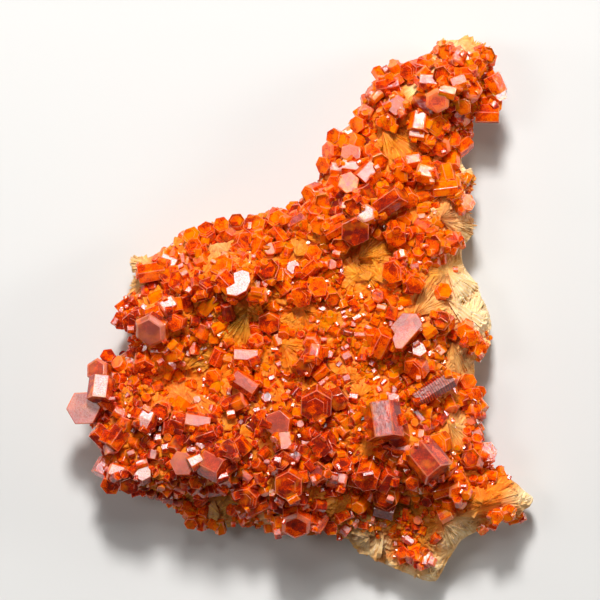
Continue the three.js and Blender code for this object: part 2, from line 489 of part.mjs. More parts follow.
const specimen = new THREE.Group();
const rock = FANS.reduce((sum, fan) => sum.add(bladeFan(fan)), rockPlate());
const matrix = piece("barite_matrix", rock, 0xd9a860, 0.75);
specimen.add(matrix);

const ground = makeGround(matrix.geometry);
for (const [name, crystals] of Object.entries(COLONIES)) {
  specimen.add(piece("vanadinite_" + name, colonySolid(crystals, ground), 0xd8430a, 0.18));
}

export default specimen;
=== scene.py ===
# Vanadinite on barite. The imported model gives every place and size; this script gives the rock its blades,
# the crystals their true shapes, and both their finish. Metres; the tables of crystals are in millimetres.
import math
import random
from functools import partial

import bmesh
import bpy
import numpy as np
from mathutils import Matrix, Vector, noise
from mathutils.bvhtree import BVHTree


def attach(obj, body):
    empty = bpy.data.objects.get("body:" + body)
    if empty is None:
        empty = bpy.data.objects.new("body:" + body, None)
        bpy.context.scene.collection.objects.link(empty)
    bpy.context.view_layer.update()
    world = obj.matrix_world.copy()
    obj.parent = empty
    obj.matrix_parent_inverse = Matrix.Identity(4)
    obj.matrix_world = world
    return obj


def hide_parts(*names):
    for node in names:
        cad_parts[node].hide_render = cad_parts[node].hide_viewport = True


mm = 0.001

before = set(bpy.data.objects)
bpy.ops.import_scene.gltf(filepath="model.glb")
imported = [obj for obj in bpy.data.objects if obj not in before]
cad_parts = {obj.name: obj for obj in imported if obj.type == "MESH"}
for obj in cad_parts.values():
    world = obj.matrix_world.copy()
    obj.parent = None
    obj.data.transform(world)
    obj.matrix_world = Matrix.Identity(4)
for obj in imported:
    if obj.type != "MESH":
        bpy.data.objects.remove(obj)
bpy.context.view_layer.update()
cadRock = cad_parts["barite_matrix"]
print("frame loaded:", len(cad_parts), "nodes")


# The picture: camera straight above the laid-down specimen, with the spire towards the top
picture = {
    "side": 600,  # pixels
    "millimetresPerPixel": 0.16,
    "lens": 300,
    "sensor": 36,
    "planeHeight": 10,  # millimetres above the floor, where the scale is true
    "farthest": 10,  # metres
}


def addCamera():
    data = bpy.data.cameras.new("camera_above")
    data.lens = picture["lens"]
    data.sensor_width = picture["sensor"]
    data.clip_end = picture["farthest"]
    camera = bpy.data.objects.new("camera_above", data)
    span = picture["side"] * picture["millimetresPerPixel"] * mm
    distance = span * picture["lens"] / picture["sensor"]
    camera.location = (0, 0, distance + picture["planeHeight"] * mm)
    bpy.context.scene.collection.objects.link(camera)
    bpy.context.scene.camera = camera


# Studio: compass bearings are counterclockwise from +X, leans are from straight up
studio = {
    "aim": (0, 0, 0.012),
    # name, lean, bearing, metres away, side, watts, and the kind of light that the lamp leaves out
    "lamps": [
        ("key_softbox", 39, 92, 0.6, 0.10, 4.3, "glossy"),
        ("glint_panel", 39, 92, 0.6, 0.12, 2.2, "diffuse"),
        ("sheen_panel", 26, 92, 0.6, 0.15, 0.6, None),
        ("left_sheen", 30, 172, 0.6, 0.15, 0.5, None),
        ("left_strip", 62, 172, 0.7, 0.16, 0.45, None),
        ("right_strip", 64, 12, 0.7, 0.16, 1.2, None),
        ("low_fill", 56, 268, 0.8, 0.5, 0.4, "glossy"),
    ],
    "worldGrey": 0.024,
    "floorColour": (0.66, 0.65, 0.63, 1),
    "floorRoughness": 0.9,
    "floorSide": 6.0,
}


def direction(lean, bearing):
    return Vector((
        math.sin(math.radians(lean)) * math.cos(math.radians(bearing)),
        math.sin(math.radians(lean)) * math.sin(math.radians(bearing)),
        math.cos(math.radians(lean)),
    ))


def addLamps():
    for name, lean, bearing, distance, side, watts, without in studio["lamps"]:
        data = bpy.data.lights.new(name, "AREA")
        data.shape = "SQUARE"
        data.size = side
        data.energy = watts
        lamp = bpy.data.objects.new(name, data)
        away = direction(lean, bearing)
        lamp.location = Vector(studio["aim"]) + away * distance
        lamp.rotation_euler = away.to_track_quat("Z", "Y").to_euler()
        lamp.visible_glossy = without != "glossy"
        lamp.visible_diffuse = without != "diffuse"
        bpy.context.scene.collection.objects.link(lamp)


def addRoom():
    world = bpy.data.worlds.new("soft_room")
    world.use_nodes = True
    grey = studio["worldGrey"]
    world.node_tree.nodes["Background"].inputs["Color"].default_value = (grey, grey, grey, 1)
    bpy.context.scene.world = world

    bpy.ops.object.select_all(action="DESELECT")
    bpy.ops.mesh.primitive_plane_add(size=studio["floorSide"])
    floor = bpy.context.active_object
    floor.name = "floor"
    paper = bpy.data.materials.new("pale_paper")
    paper.use_nodes = True
    coat = paper.node_tree.nodes["Principled BSDF"]
    coat.inputs["Base Color"].default_value = studio["floorColour"]
    coat.inputs["Roughness"].default_value = studio["floorRoughness"]
    floor.data.materials.append(paper)

    settings = bpy.context.scene.view_settings
    settings.view_transform = "Standard"
    settings.look = "None"


addCamera()
addLamps()
addRoom()
print("camera and lamps set")


# Small helpers for modelling in edit mode
touching = 1e-4  # places nearer than this are one place
facing = 0.9  # a face looks along an axis when its normal goes at least this far along it


def onlyThis(piece):
    bpy.ops.object.select_all(action="DESELECT")
    bpy.context.view_layer.objects.active = piece
    piece.select_set(True)


def pickFaces(piece, test):
    bpy.ops.mesh.select_mode(type="FACE")
    bpy.ops.mesh.select_all(action="DESELECT")
    shape = bmesh.from_edit_mesh(piece.data)
    for face in shape.faces:
        face.select_set(bool(test(face.calc_center_median(), face.normal)))
    bmesh.update_edit_mesh(piece.data)


def pickEdges(piece, test):
    bpy.ops.mesh.select_mode(type="EDGE")
    bpy.ops.mesh.select_all(action="DESELECT")
    shape = bmesh.from_edit_mesh(piece.data)
    for edge in shape.edges:
        edge.select_set(bool(test(edge.verts[0].co, edge.verts[1].co)))
    bmesh.update_edit_mesh(piece.data)


# Crystal shapes. Each is modelled once, one unit across its corners and one unit long, with a corner on +X,
# and is then stamped wherever a crystal of its kind stands.
crystalShapes = {
    "edgeBevel": 0.028,
    "smallEdgeBevel": 0.05,
    "rimBevel": 0.8,  # as a share of the usual bevel, and so is the next
    "plateBevel": 0.6,
    "stepInset": 0.085,
    "stepRise": 0.022,
    "stepShifts": ((0.012, 0.02), (-0.02, 0.012)),
    "secondStep": 0.7,  # as a share of the first
    "hollowInsets": (0.10, 0.09),
    "hollowShift": (0.01, -0.01),
    "hollowDepth": 0.05,
    "rimCut": 0.10,
    "stripes": 19,
    "stripeWaist": 0.965,
    "stripeLip": 0.004,
    "barrelEnds": 0.9,
    "barrelWaist": 1.1,
    "unevenCorners": ((-0.1, 0.058), (0.05, 0.04)),
    "unevenShift": (-0.015, 0.01),
    "taper": 0.84,
    "taperShift": (0.02, 0.01),
    "smallTaper": 0.86,
    "smallTaperShift": (0.015, 0.02),
    "grainTaper": 0.9,
    "creaseSlope": 0.035,
    "paleEdgeArea": 0.06,  # a face under this area, and turned away from the main faces, is a narrow bevel: pale wear and a painted highlight
    "paleEdgeCosine": 0.985,
}


def startPrism(corners=6):
    bpy.ops.object.select_all(action="DESELECT")
    bpy.ops.mesh.primitive_cylinder_add(vertices=corners, radius=0.5, depth=1, rotation=(0, 0, math.pi / 2))
    bpy.ops.object.transform_apply(location=True, rotation=True, scale=True)
    prism = bpy.context.active_object
    bpy.ops.object.mode_set(mode="EDIT")
    return prism


def pickTopFace(prism):
    top = max(vertex.co.z for vertex in bmesh.from_edit_mesh(prism.data).verts)
    pickFaces(prism, lambda centre, normal: normal.z > facing and centre.z > top - touching)


def bevelEdges(width, segments=1):
    bpy.ops.mesh.bevel(offset=width, offset_type="OFFSET", segments=segments, affect="EDGES")


def bevelAll(width, segments=1):
    bpy.ops.mesh.select_mode(type="EDGE")
    bpy.ops.mesh.select_all(action="SELECT")
    bevelEdges(width, segments)


def growStep(prism, inset, rise, shift=(0, 0)):
    pickTopFace(prism)
    bpy.ops.mesh.inset(thickness=inset)
    bpy.ops.mesh.extrude_region_move(TRANSFORM_OT_translate={"value": (*shift, rise)})


def simplePrism(bevel=0, segments=1, taper=1, shift=(0, 0)):
    # a prism whose upper end is narrower by the taper and stands a little to one side
    prism = startPrism()
    if taper < 1:
        pickTopFace(prism)
        bpy.ops.transform.resize(value=(taper, taper, 1))
        bpy.ops.transform.translate(value=(*shift, 0))
    if bevel:
        bevelAll(bevel, segments)
    return prism


def steppedPrism():
    prism = simplePrism(crystalShapes["edgeBevel"])
    rise = crystalShapes["stepRise"]
    firstShift, secondShift = crystalShapes["stepShifts"]
    growStep(prism, crystalShapes["stepInset"], rise, firstShift)
    growStep(prism, crystalShapes["stepInset"], rise * crystalShapes["secondStep"], secondShift)
    return prism


def hollowPrism():
    prism = simplePrism(crystalShapes["edgeBevel"])
    first, second = crystalShapes["hollowInsets"]
    growStep(prism, first, -crystalShapes["hollowDepth"], crystalShapes["hollowShift"])
    growStep(prism, second, -crystalShapes["hollowDepth"] / 2)
    return prism


def cutRimPrism():
    prism = startPrism()
    pickEdges(prism, lambda a, b: abs(a.z - b.z) < touching)
    bevelEdges(crystalShapes["rimCut"])
    bevelAll(crystalShapes["edgeBevel"] * crystalShapes["rimBevel"])
    return prism


def stripedPrism():
    # a stack of thin plates, every other one a hair narrower
    prism = startPrism()
    plateHeight, lip = 1 / crystalShapes["stripes"], crystalShapes["stripeLip"]
    pickTopFace(prism)
    bpy.ops.transform.translate(value=(0, 0, -1 + plateHeight))
    for layer in range(1, crystalShapes["stripes"]):
        pickTopFace(prism)
        narrow = crystalShapes["stripeWaist"] if layer % 2 else 1 / crystalShapes["stripeWaist"]
        bpy.ops.mesh.extrude_region_move(TRANSFORM_OT_translate={"value": (0, 0, lip)})
        bpy.ops.transform.resize(value=(narrow, narrow, 1))
        bpy.ops.mesh.extrude_region_move(TRANSFORM_OT_translate={"value": (0, 0, plateHeight - lip)})
    return prism


def barrelPrism():
    prism = startPrism()
    ends, waist = crystalShapes["barrelEnds"], crystalShapes["barrelWaist"]
    pickFaces(prism, lambda centre, normal: abs(normal.z) > facing)
    bpy.ops.transform.resize(value=(ends, ends, 1))
    pickEdges(prism, lambda a, b: abs(a.z - b.z) > 0.5)
    bpy.ops.mesh.subdivide(number_cuts=1)
    pickEdges(prism, lambda a, b: abs(a.z) < touching and abs(b.z) < touching)
    bpy.ops.transform.resize(value=(waist, waist, 1))
    bevelAll(crystalShapes["edgeBevel"])
    return prism


def unevenPrism():
    # one corner grown back, so that its sides are not of one width
    prism = startPrism()
    grownBack, beside = crystalShapes["unevenCorners"]
    pickEdges(prism, lambda a, b: a.x > 0.4 and b.x > 0.4)
    bpy.ops.transform.translate(value=(*grownBack, 0))
    pickEdges(prism, lambda a, b: a.x < -0.2 and b.x < -0.2 and a.y > 0.2 and b.y > 0.2)
    bpy.ops.transform.translate(value=(*beside, 0))
    bevelAll(crystalShapes["edgeBevel"])
    growStep(prism, crystalShapes["stepInset"], crystalShapes["stepRise"], crystalShapes["unevenShift"])
    return prism


def outlinedPlate(corners):
    # a plate with an outline of its own: its corners in turn, counterclockwise from the one nearest to -X
    prism = startPrism(len(corners))
    for turn, (x, y) in enumerate(corners):
        bearing = math.pi + 2 * math.pi * turn / len(corners)
        home = Vector((0.5 * math.cos(bearing), 0.5 * math.sin(bearing)))
        pickEdges(prism, lambda a, b: (a.xy - home).length < touching and (b.xy - home).length < touching)
        bpy.ops.transform.translate(value=(x - home.x, y - home.y, 0))
    bevelAll(crystalShapes["edgeBevel"] * crystalShapes["plateBevel"])
    return prism


def creasedPlate():
    # the big plate: its face is two nearly level halves that meet in a shallow crease
    prism = outlinedPlate([
        (-0.54, -0.03), (-0.46, -0.18), (0.33, -0.29), (0.41, -0.26), (0.55, 0.0), (0.37, 0.335),
        (-0.13, 0.40), (-0.22, 0.21), (-0.37, 0.18),
    ])
    pickTopFace(prism)
    creaseStart, creaseNormal = Vector((0.41, -0.26, 0.5)), Vector((0.59, 0.805, 0))
    bpy.ops.mesh.bisect(plane_co=creaseStart, plane_no=creaseNormal)
    pickTopFace(prism)
    for corner in bmesh.from_edit_mesh(prism.data).verts:
        if corner.select:
            corner.co.z += crystalShapes["creaseSlope"] * abs((corner.co - creaseStart).dot(creaseNormal))
    bmesh.update_edit_mesh(prism.data)
    return prism


def bittenPlate():
    # a plate grown round a neighbour, so that one side of it has a bay
    return outlinedPlate([
        (-0.475, 0.03), (-0.20, -0.255), (0.15, -0.29), (0.44, -0.16), (0.456, 0.084), (0.276, 0.333),
        (-0.07, 0.21), (-0.30, 0.42), (-0.50, 0.34),
    ])


# Barite blade shapes, one unit long from the origin along +X and one unit wide at the far end, flat faces up
# and down. Side by side they close up into a fan.
bladeShapes = {
    "rootWidth": 0.16,
    "farEnd": 0.95,  # edges beyond this are at the far end
    "slant": 0.10,  # how far one corner of the end stands ahead of the other
    "slantFacing": 0.6,  # how far the normal of the slanted end goes along X, at least
    "endShare": (0.9, 0.5),  # width and thickness of the end of a thin blade
    "ridge": 0.3,
    "chisel": 0.6,  # how far the ridge's end runs on, as a share of the slant
    "cuts": 3,  # joints along a blade, at which it bends over the rock
}


def startBlade():
    bpy.ops.object.select_all(action="DESELECT")
    bpy.ops.mesh.primitive_cube_add(size=1, location=(0.5, 0, 0))
    bpy.ops.object.transform_apply(location=True, rotation=True, scale=True)
    blade = bpy.context.active_object
    bpy.ops.object.mode_set(mode="EDIT")
    pickFaces(blade, lambda centre, normal: normal.x < -facing)
    bpy.ops.transform.resize(value=(1, bladeShapes["rootWidth"], 1))
    pickEdges(blade, lambda a, b: abs(a.x - b.x) > 0.5)
    bpy.ops.mesh.subdivide(number_cuts=bladeShapes["cuts"])
    return blade


def thinBlade():
    # a lath with a slanted, thinned end
    blade = startBlade()
    pickEdges(blade, lambda a, b: min(a.x, b.x) > bladeShapes["farEnd"] and a.y > 0 and b.y > 0)
    bpy.ops.transform.translate(value=(-bladeShapes["slant"], 0, 0))
    pickFaces(blade, lambda centre, normal: normal.x > bladeShapes["slantFacing"])
    bpy.ops.transform.resize(value=(1, *bladeShapes["endShare"]))
    return blade


def ridgedBlade():
    # a lath whose top rises to a low ridge, with a chisel end
    blade = startBlade()
    bpy.ops.mesh.select_mode(type="FACE")
    bpy.ops.mesh.select_all(action="SELECT")
    bpy.ops.mesh.bisect(plane_co=(0.5, 0, 0), plane_no=(0, 1, 0))
    pickEdges(blade, lambda a, b: abs(a.y) < touching and abs(b.y) < touching and a.z > 0 and b.z > 0)
    bpy.ops.transform.translate(value=(0, 0, bladeShapes["ridge"]))
    farEnd = bladeShapes["farEnd"]
    pickEdges(blade, lambda a, b: min(a.x, b.x) > farEnd and max(abs(a.y), abs(b.y)) < touching)
    runOn = bladeShapes["slant"] * bladeShapes["chisel"]
    bpy.ops.transform.translate(value=(runOn, 0, -bladeShapes["ridge"]))
    return blade


def shapeArrays(makeShape):
    # the finished shape as arrays, with its narrow bevel faces marked for pale wear and a painted highlight;
    # the object itself goes
    model = makeShape()
    bpy.ops.object.mode_set(mode="OBJECT")
    mesh = model.data
    mainWays = [direction(90, 30 + 60 * side) for side in range(6)] + [Vector((0, 0, 1)), Vector((0, 0, -1))]
    # a bevel can leave corners and faces in another order each time, so they are sorted by place
    points = np.array([vertex.co for vertex in mesh.vertices])
    order = np.lexsort(np.round(points, 5).T)
    rank = np.argsort(order).tolist()
    faces = []
    for polygon in mesh.polygons:
        corners = [rank[k] for k in polygon.vertices]
        first = corners.index(min(corners))
        turnedAway = max(polygon.normal.dot(way) for way in mainWays) < crystalShapes["paleEdgeCosine"]
        wornAndHighlit = float(polygon.area < crystalShapes["paleEdgeArea"] and turnedAway)
        faces.append((corners[first:] + corners[:first], wornAndHighlit))
    faces.sort()
    bpy.data.objects.remove(model)
    bpy.data.meshes.remove(mesh)
    return {
        "points": points[order],
        "sizes": np.array([len(corners) for corners, wornAndHighlit in faces]),
        "corners": np.concatenate([corners for corners, wornAndHighlit in faces]),
        "edge": np.array([wornAndHighlit for corners, wornAndHighlit in faces]),
    }


shapeMakers = {
    "plain": partial(simplePrism, crystalShapes["edgeBevel"], 2),
    "stepped": steppedPrism,
    "hollow": hollowPrism,
    "cutRim": cutRimPrism,
    "striped": stripedPrism,
    "barrel": barrelPrism,
    "uneven": unevenPrism,
    "tapered": partial(
        simplePrism, crystalShapes["edgeBevel"], 1, crystalShapes["taper"], crystalShapes["taperShift"],
    ),
    "creased": creasedPlate,
    "bitten": bittenPlate,
    "small": partial(simplePrism, crystalShapes["smallEdgeBevel"]),
    "smallTapered": partial(
        simplePrism, crystalShapes["smallEdgeBevel"], 1, crystalShapes["smallTaper"],
        crystalShapes["smallTaperShift"],
    ),
    "grain": partial(simplePrism, taper=crystalShapes["grainTaper"]),
    "thinBlade": thinBlade,
    "ridgedBlade": ridgedBlade,
}
shapes = {name: shapeArrays(makeShape) for name, makeShape in shapeMakers.items()}
print("shapes modelled:", {name: len(shape["sizes"]) for name, shape in shapes.items()})


def giveValues(mesh, name, values, domain="POINT"):
    # one number or one vector for each vertex or face, for the finishes to read
    values = np.asarray(values, np.float32)
    kind, field = ("FLOAT", "value") if values.ndim == 1 else ("FLOAT_VECTOR", "vector")
    mesh.attributes.new(name, kind, domain).data.foreach_set(field, values.ravel())


def stampedPiece(name, stamps):
    # one mesh from many stamps: each has a shape, its placed points and its values for the finish
    models = [shapes[stamp["shape"]] for stamp in stamps]
    counts = [len(stamp["points"]) for stamp in stamps]
    points = np.concatenate([stamp["points"] for stamp in stamps])
    sizes = np.concatenate([model["sizes"] for model in models])
    starts = np.cumsum([0] + counts[:-1])
    corners = np.concatenate([model["corners"] + start for model, start in zip(models, starts)])
    mesh = bpy.data.meshes.new(name)
    mesh.vertices.add(len(points))
    mesh.vertices.foreach_set("co", points.astype(np.float32).ravel())
    mesh.loops.add(len(corners))
    mesh.loops.foreach_set("vertex_index", corners.astype(np.int32))
    mesh.polygons.add(len(sizes))
    mesh.polygons.foreach_set("loop_start", np.concatenate([[0], np.cumsum(sizes)[:-1]]).astype(np.int32))
    giveValues(mesh, "edge", np.concatenate([model["edge"] for model in models]), "FACE")
    for kind, width in [("values", ()), ("vectors", (3,))]:
        for value in stamps[0][kind]:
            giveValues(mesh, value, np.concatenate([
                np.broadcast_to(stamp[kind][value], (count, *width)) for stamp, count in zip(stamps, counts)
            ]))
    mesh.update(calc_edges=True)
    mesh.validate()
    mesh.shade_flat()
    piece = bpy.data.objects.new(name, mesh)
    bpy.context.scene.collection.objects.link(piece)
    return piece


# The crystals that the imported model has too. A plate is seen on its end, a bar on one of its long sides.
# x and y are the middle, width is across the corners and length along the axis. The seen face leans by tilt,
# towards a bearing; spin is the bearing of a corner on a plate, and of the long axis on a bar.
# frost gives the face turned to the light a painted mauve and white sheen, and a rougher, less shiny finish
def crystal(onEnd, x, y, width, length, tilt, toward, spin, lift=0.7, shape=None, tone=None, frost=0):
    return {
        "onEnd": onEnd, "x": x, "y": y, "width": width, "length": length, "tilt": tilt, "toward": toward,
        "spin": spin, "lift": lift, "shape": shape, "tone": tone, "frost": frost,
    }


plate = partial(crystal, True)
bar = partial(crystal, False)

colonies = {
    "spire_tip": [
        plate(23.5, 39.2, 3.2, 2.4, 26, 150, 10), bar(25.1, 38.7, 2.6, 2.6, 20, 90, 75, 0.9),
        bar(27.2, 38.6, 2.0, 2.8, 20, 90, 20, 0.9), bar(28.3, 37.8, 2.6, 2.6, 20, 90, 45),
        plate(29.4, 38.8, 3.2, 2.6, 36, 30, 0),
    ],
    "spire_head": [
        bar(25.1, 34.4, 3.0, 2.4, 17, 90, 20, 1.4, frost=0.6), plate(23.0, 35.8, 3.4, 2.4, 30, 200, 15),
        plate(27.1, 33.3, 3.8, 2.6, 28, 45, 0, 1.2), bar(23.4, 33.0, 2.4, 2.6, 20, 90, 165, 1.6),
        bar(26.2, 35.9, 2.6, 2.8, 30, 100, 0), plate(26.0, 31.4, 3.2, 2.6, 34, 270, 20),
        plate(21.9, 31.8, 4.2, 2.8, 16, 240, 88, 1.4, frost=0.35),
        bar(20.5, 34.8, 3.0, 3.0, 14, 90, 175, 1.2, frost=0.4),
    ],
    "spire_head_east": [
        bar(31.2, 34.5, 3.4, 3.2, 34, 20, 300), plate(31.4, 33.2, 3.2, 2.8, 30, 10, 20),
        plate(31.0, 31.2, 2.8, 2.4, 28, 40, 10), bar(30.0, 29.8, 3.2, 3.8, 24, 262, 0, 1.0),
    ],
    "spire_notch": [plate(18.0, 36.8, 3.4, 3.0, 32, 200, 80, 1.0), bar(19.8, 37.4, 2.4, 2.4, 30, 90, 160)],
    "spire_blade_rim": [bar(14.1, 34.2, 3.0, 3.8, 20, 120, 8, 1.0), bar(12.1, 33.2, 2.6, 2.6, 20, 92, 60)],
    "spire_hexagon": [
        plate(15.7, 31.0, 3.4, 3.0, 14, 180, 80, 1.5, frost=0.5), plate(14.2, 28.8, 3.2, 2.4, 30, 240, 30),
    ],
    "spire_west": [
        plate(8.3, 23.4, 3.4, 2.4, 12, 150, 88, 1.6, frost=0.6), plate(7.4, 25.2, 2.8, 2.4, 30, 150, 20),
        bar(8.0, 26.8, 2.2, 2.4, 20, 92, 40), plate(5.9, 26.0, 2.8, 2.4, 36, 160, 20),
        plate(5.1, 23.9, 3.2, 2.4, 50, 180, 90), plate(9.6, 28.2, 2.8, 2.4, 30, 190, 30),
        bar(10.6, 30.1, 2.4, 2.2, 22, 96, 150), bar(6.2, 21.0, 2.8, 2.6, 14, 92, 170, 1.0, frost=0.5),
        bar(8.2, 21.2, 2.8, 3.0, 14, 92, 172, 1.2, frost=0.5), plate(4.3, 21.7, 3.0, 2.2, 44, 190, 0),
        bar(10.8, 20.0, 3.8, 3.2, 14, 92, 48, 1.5, frost=0.5), plate(7.8, 18.4, 3.6, 2.8, 12, 110, 80, 1.2),
    ],
    "spire_middle": [
        bar(19.0, 28.2, 3.6, 3.0, 16, 92, 80, 1.3), plate(21.4, 28.0, 3.6, 2.6, 30, 330, 20),
        bar(18.6, 26.2, 2.0, 2.4, 18, 90, 170, 1.5, frost=0.6), bar(21.0, 25.8, 2.4, 3.2, 26, 120, 58),
        plate(22.6, 24.8, 3.6, 3.0, 24, 240, 40),
    ],
    "spire_low": [
        bar(20.0, 20.2, 3.4, 3.0, 14, 92, 165, 1.5), plate(21.8, 20.7, 2.6, 2.4, 24, 80, 30),
        bar(23.4, 20.2, 3.0, 2.8, 22, 60, 100), bar(23.2, 17.8, 2.8, 4.0, 30, 100, 5),
        plate(24.8, 16.6, 2.6, 2.4, 30, 130, 20), plate(26.2, 15.4, 3.0, 2.6, 30, 20, 0),
    ],
    "spire_mite": [plate(16.1, 20.5, 3.4, 2.6, 30, 250, 20)],
    "saddle_point": [plate(2.3, 17.1, 3.4, 2.8, 40, 205, 50), plate(4.0, 16.2, 3.2, 2.6, 30, 250, 20)],
    "saddle_prism": [bar(14.4, 15.9, 4.0, 4.8, 26, 200, 32, 1.5)],
    "saddle_brow": [
        plate(8.6, 15.0, 3.6, 3.0, 22, 240, 20, 1.4),
        plate(10.4, 13.5, 3.4, 2.4, 21, 92, 85, 1.8, frost=0.9),
        plate(8.8, 11.4, 5.0, 3.2, 24, 265, 88, 1.6), plate(6.6, 9.2, 3.4, 2.6, 38, 250, 10),
        bar(5.3, 11.3, 2.8, 3.2, 18, 130, 30, 1.2), plate(3.6, 12.0, 3.2, 2.8, 28, 200, 40),
    ],
    "north_ridge_east": [
        bar(-0.6, 12.6, 2.4, 3.2, 18, 110, 30, 1.0), plate(-3.4, 12.4, 3.2, 2.6, 32, 120, 20),
        plate(1.4, 13.8, 3.0, 2.4, 36, 130, 0), bar(-3.2, 10.4, 2.4, 3.0, 30, 60, 120),
    ],
    "north_ridge_middle": [
        plate(-7.2, 11.4, 3.8, 2.8, 34, 100, 20), plate(-8.9, 9.1, 3.4, 2.4, 24, 30, 10),
        bar(-6.6, 8.8, 3.0, 3.4, 30, 200, 60),
    ],
    "north_ridge_west": [
        plate(-17.0, 9.9, 3.2, 2.4, 36, 130, 10), plate(-14.8, 10.7, 3.2, 2.4, 34, 110, 40),
        plate(-12.4, 11.5, 3.0, 2.4, 32, 100, 20), plate(-16.6, 8.2, 3.0, 2.4, 30, 140, 0),
    ],
    "crown": [
        plate(-9.3, 2.2, 4.8, 3.0, 20, 94, 76, 2.6, shape="bitten", tone=0.5, frost=0.8),
        bar(-11.6, 2.8, 3.4, 3.6, 26, 60, 130, 1.8), bar(-6.8, 0.8, 2.6, 3.4, 24, 250, 4, 1.6),
        plate(-12.2, 4.8, 4.0, 3.0, 32, 110, 30, 1.0), plate(-15.2, 1.8, 4.0, 3.6, 38, 200, 70, 1.4),
    ],
    "centre_north": [
        plate(-4.7, 4.3, 4.0, 3.2, 26, 130, 10, 1.2), bar(-2.8, 2.4, 2.6, 3.0, 26, 40, 130),
        plate(0.2, 0.9, 3.8, 2.8, 20, 260, 20, 0.8), plate(2.8, 1.8, 3.6, 2.6, 18, 60, 10, 0.8),
    ],
    "valley_prism": [bar(1.6, 5.0, 2.6, 3.8, 24, 200, 38, 1.0)],
    "east_knoll": [
        plate(15.2, 4.6, 4.0, 3.0, 24, 200, 20, 1.2), plate(18.1, 3.0, 3.4, 3.0, 20, 300, 60, 1.2),
        plate(16.2, 6.8, 2.6, 2.6, 12, 160, 90, 1.4),
    ],
    "valley_hexagon": [plate(15.3, 10.6, 3.6, 2.8, 34, 265, 40, 1.8)],
    "east_pair": [bar(23.9, 9.2, 3.0, 3.4, 18, 120, 26, 0.8), plate(21.4, 8.8, 3.8, 2.8, 20, 200, 10, 0.8)],
    "east_studs": [plate(22.6, -3.4, 3.4, 2.6, 12, 150, 50, 0.8)],
    "east_plate": [
        plate(16.8, -5.2, 6.0, 3.0, 13, 110, 58, 2.4, shape="creased", tone=0.75, frost=0.6),
        bar(13.0, -6.8, 3.6, 4.4, 30, 250, 66, 1.4),
        plate(18.9, -8.1, 2.6, 2.6, 18, 92, 40, 1.4, frost=0.9),
        plate(18.6, -10.6, 4.2, 2.2, 46, 232, 30, 1.0),
    ],
    "east_rim_low": [plate(26.8, -5.8, 3.0, 2.4, 26, 320, 0), plate(28.4, -7.4, 2.8, 2.4, 36, 330, 20)],
    "striped_prism": [bar(21.2, -14.1, 3.2, 6.8, 11, 92, 32, 1.9, shape="striped", tone=0.85, frost=0.35)],
    "east_beads": [plate(27.4, -15.3, 2.8, 2.4, 40, 0, 0), plate(27.7, -17.4, 2.6, 2.2, 40, 10, 30)],
    "north_west_corner": [
        bar(-23.6, 4.4, 3.4, 4.4, 26, 270, 12, 0.9), bar(-21.0, 6.0, 2.8, 2.6, 19, 92, 152, 1.2, frost=0.8),
        plate(-20.9, 3.7, 3.0, 2.6, 20, 120, 10), plate(-18.8, 2.6, 4.0, 3.0, 26, 130, 20, 0.9),
    ],
    "west_shoulder": [
        plate(-23.5, -4.6, 5.8, 2.6, 30, 232, 30, 1.8, shape="cutRim", tone=0.75, frost=0.45),
        bar(-20.9, -1.0, 3.4, 2.8, 19, 92, 35, 1.5, frost=0.9),
        bar(-22.9, -2.2, 3.0, 2.6, 30, 260, 35, 1.2), plate(-26.0, -3.4, 4.0, 3.2, 32, 220, 40, 1.8),
        plate(-28.0, -3.2, 3.2, 2.8, 30, 190, 0, 1.4), bar(-27.9, -1.0, 2.8, 2.8, 28, 130, 40, 1.0),
    ],
    "west_eaves": [
        plate(-24.8, -10.2, 3.8, 2.6, 40, 265, 30, 1.2), plate(-20.1, -8.0, 3.2, 3.0, 28, 250, 20, 1.0),
        plate(-22.3, -8.7, 3.2, 2.6, 36, 280, 0, 0.8),
    ],
    "west_point": [
        plate(-34.3, -17.3, 5.8, 2.4, 15, 170, 2, 2.0, shape="plain", tone=0.75, frost=0.6),
        bar(-31.7, -14.2, 4.3, 3.8, 19, 92, 84, 3.0, frost=0.9),
        plate(-32.0, -11.4, 4.0, 3.2, 24, 150, 30, 1.8, frost=0.35),
    ],
    "west_under": [
        bar(-31.6, -21.9, 3.4, 3.6, 30, 240, 130, 0.8), bar(-29.4, -22.0, 3.6, 3.4, 26, 120, 60, 1.2),
    ],
    "west_square": [
        bar(-24.6, -19.2, 4.0, 3.0, 16, 92, 66, 1.8, frost=0.7), plate(-22.6, -18.3, 3.4, 2.6, 20, 60, 40),
    ],
    "low_west_knot": [
        bar(-31.5, -26.8, 3.0, 2.8, 20, 95, 65, 0.9),
        bar(-29.2, -27.6, 3.4, 2.8, 19, 94, 160, 1.6, frost=0.8),
        plate(-30.0, -29.1, 3.4, 2.8, 36, 240, 10), plate(-27.2, -28.9, 3.4, 2.8, 36, 270, 30, 0.8),
        plate(-25.0, -27.8, 3.0, 3.0, 19, 92, 30, 1.4, frost=0.8),
    ],
    "ledge": [
        plate(-18.2, -26.0, 4.4, 2.6, 20, 150, 60, 1.8, frost=0.5),
        bar(-16.5, -25.6, 2.8, 2.2, 19, 92, 30, 2.6, frost=0.9),
        bar(-13.6, -26.2, 4.8, 3.8, 26, 130, 150, 1.8, frost=0.3),
        plate(-12.2, -28.2, 3.4, 2.4, 30, 120, 20, 1.4), plate(-11.0, -24.0, 3.4, 2.8, 22, 110, 40, 1.4),
    ],
    "middle_prisms": [
        bar(-16.2, -19.5, 3.4, 4.0, 14, 92, 170, 1.7, frost=0.5),
        bar(-18.9, -19.4, 3.2, 3.6, 34, 250, 160, 1.0), bar(-15.0, -21.3, 2.8, 3.8, 30, 260, 28, 1.2),
    ],
    "heart_west": [
        bar(-8.7, -13.4, 3.8, 4.2, 15, 92, 145, 1.6, frost=0.45),
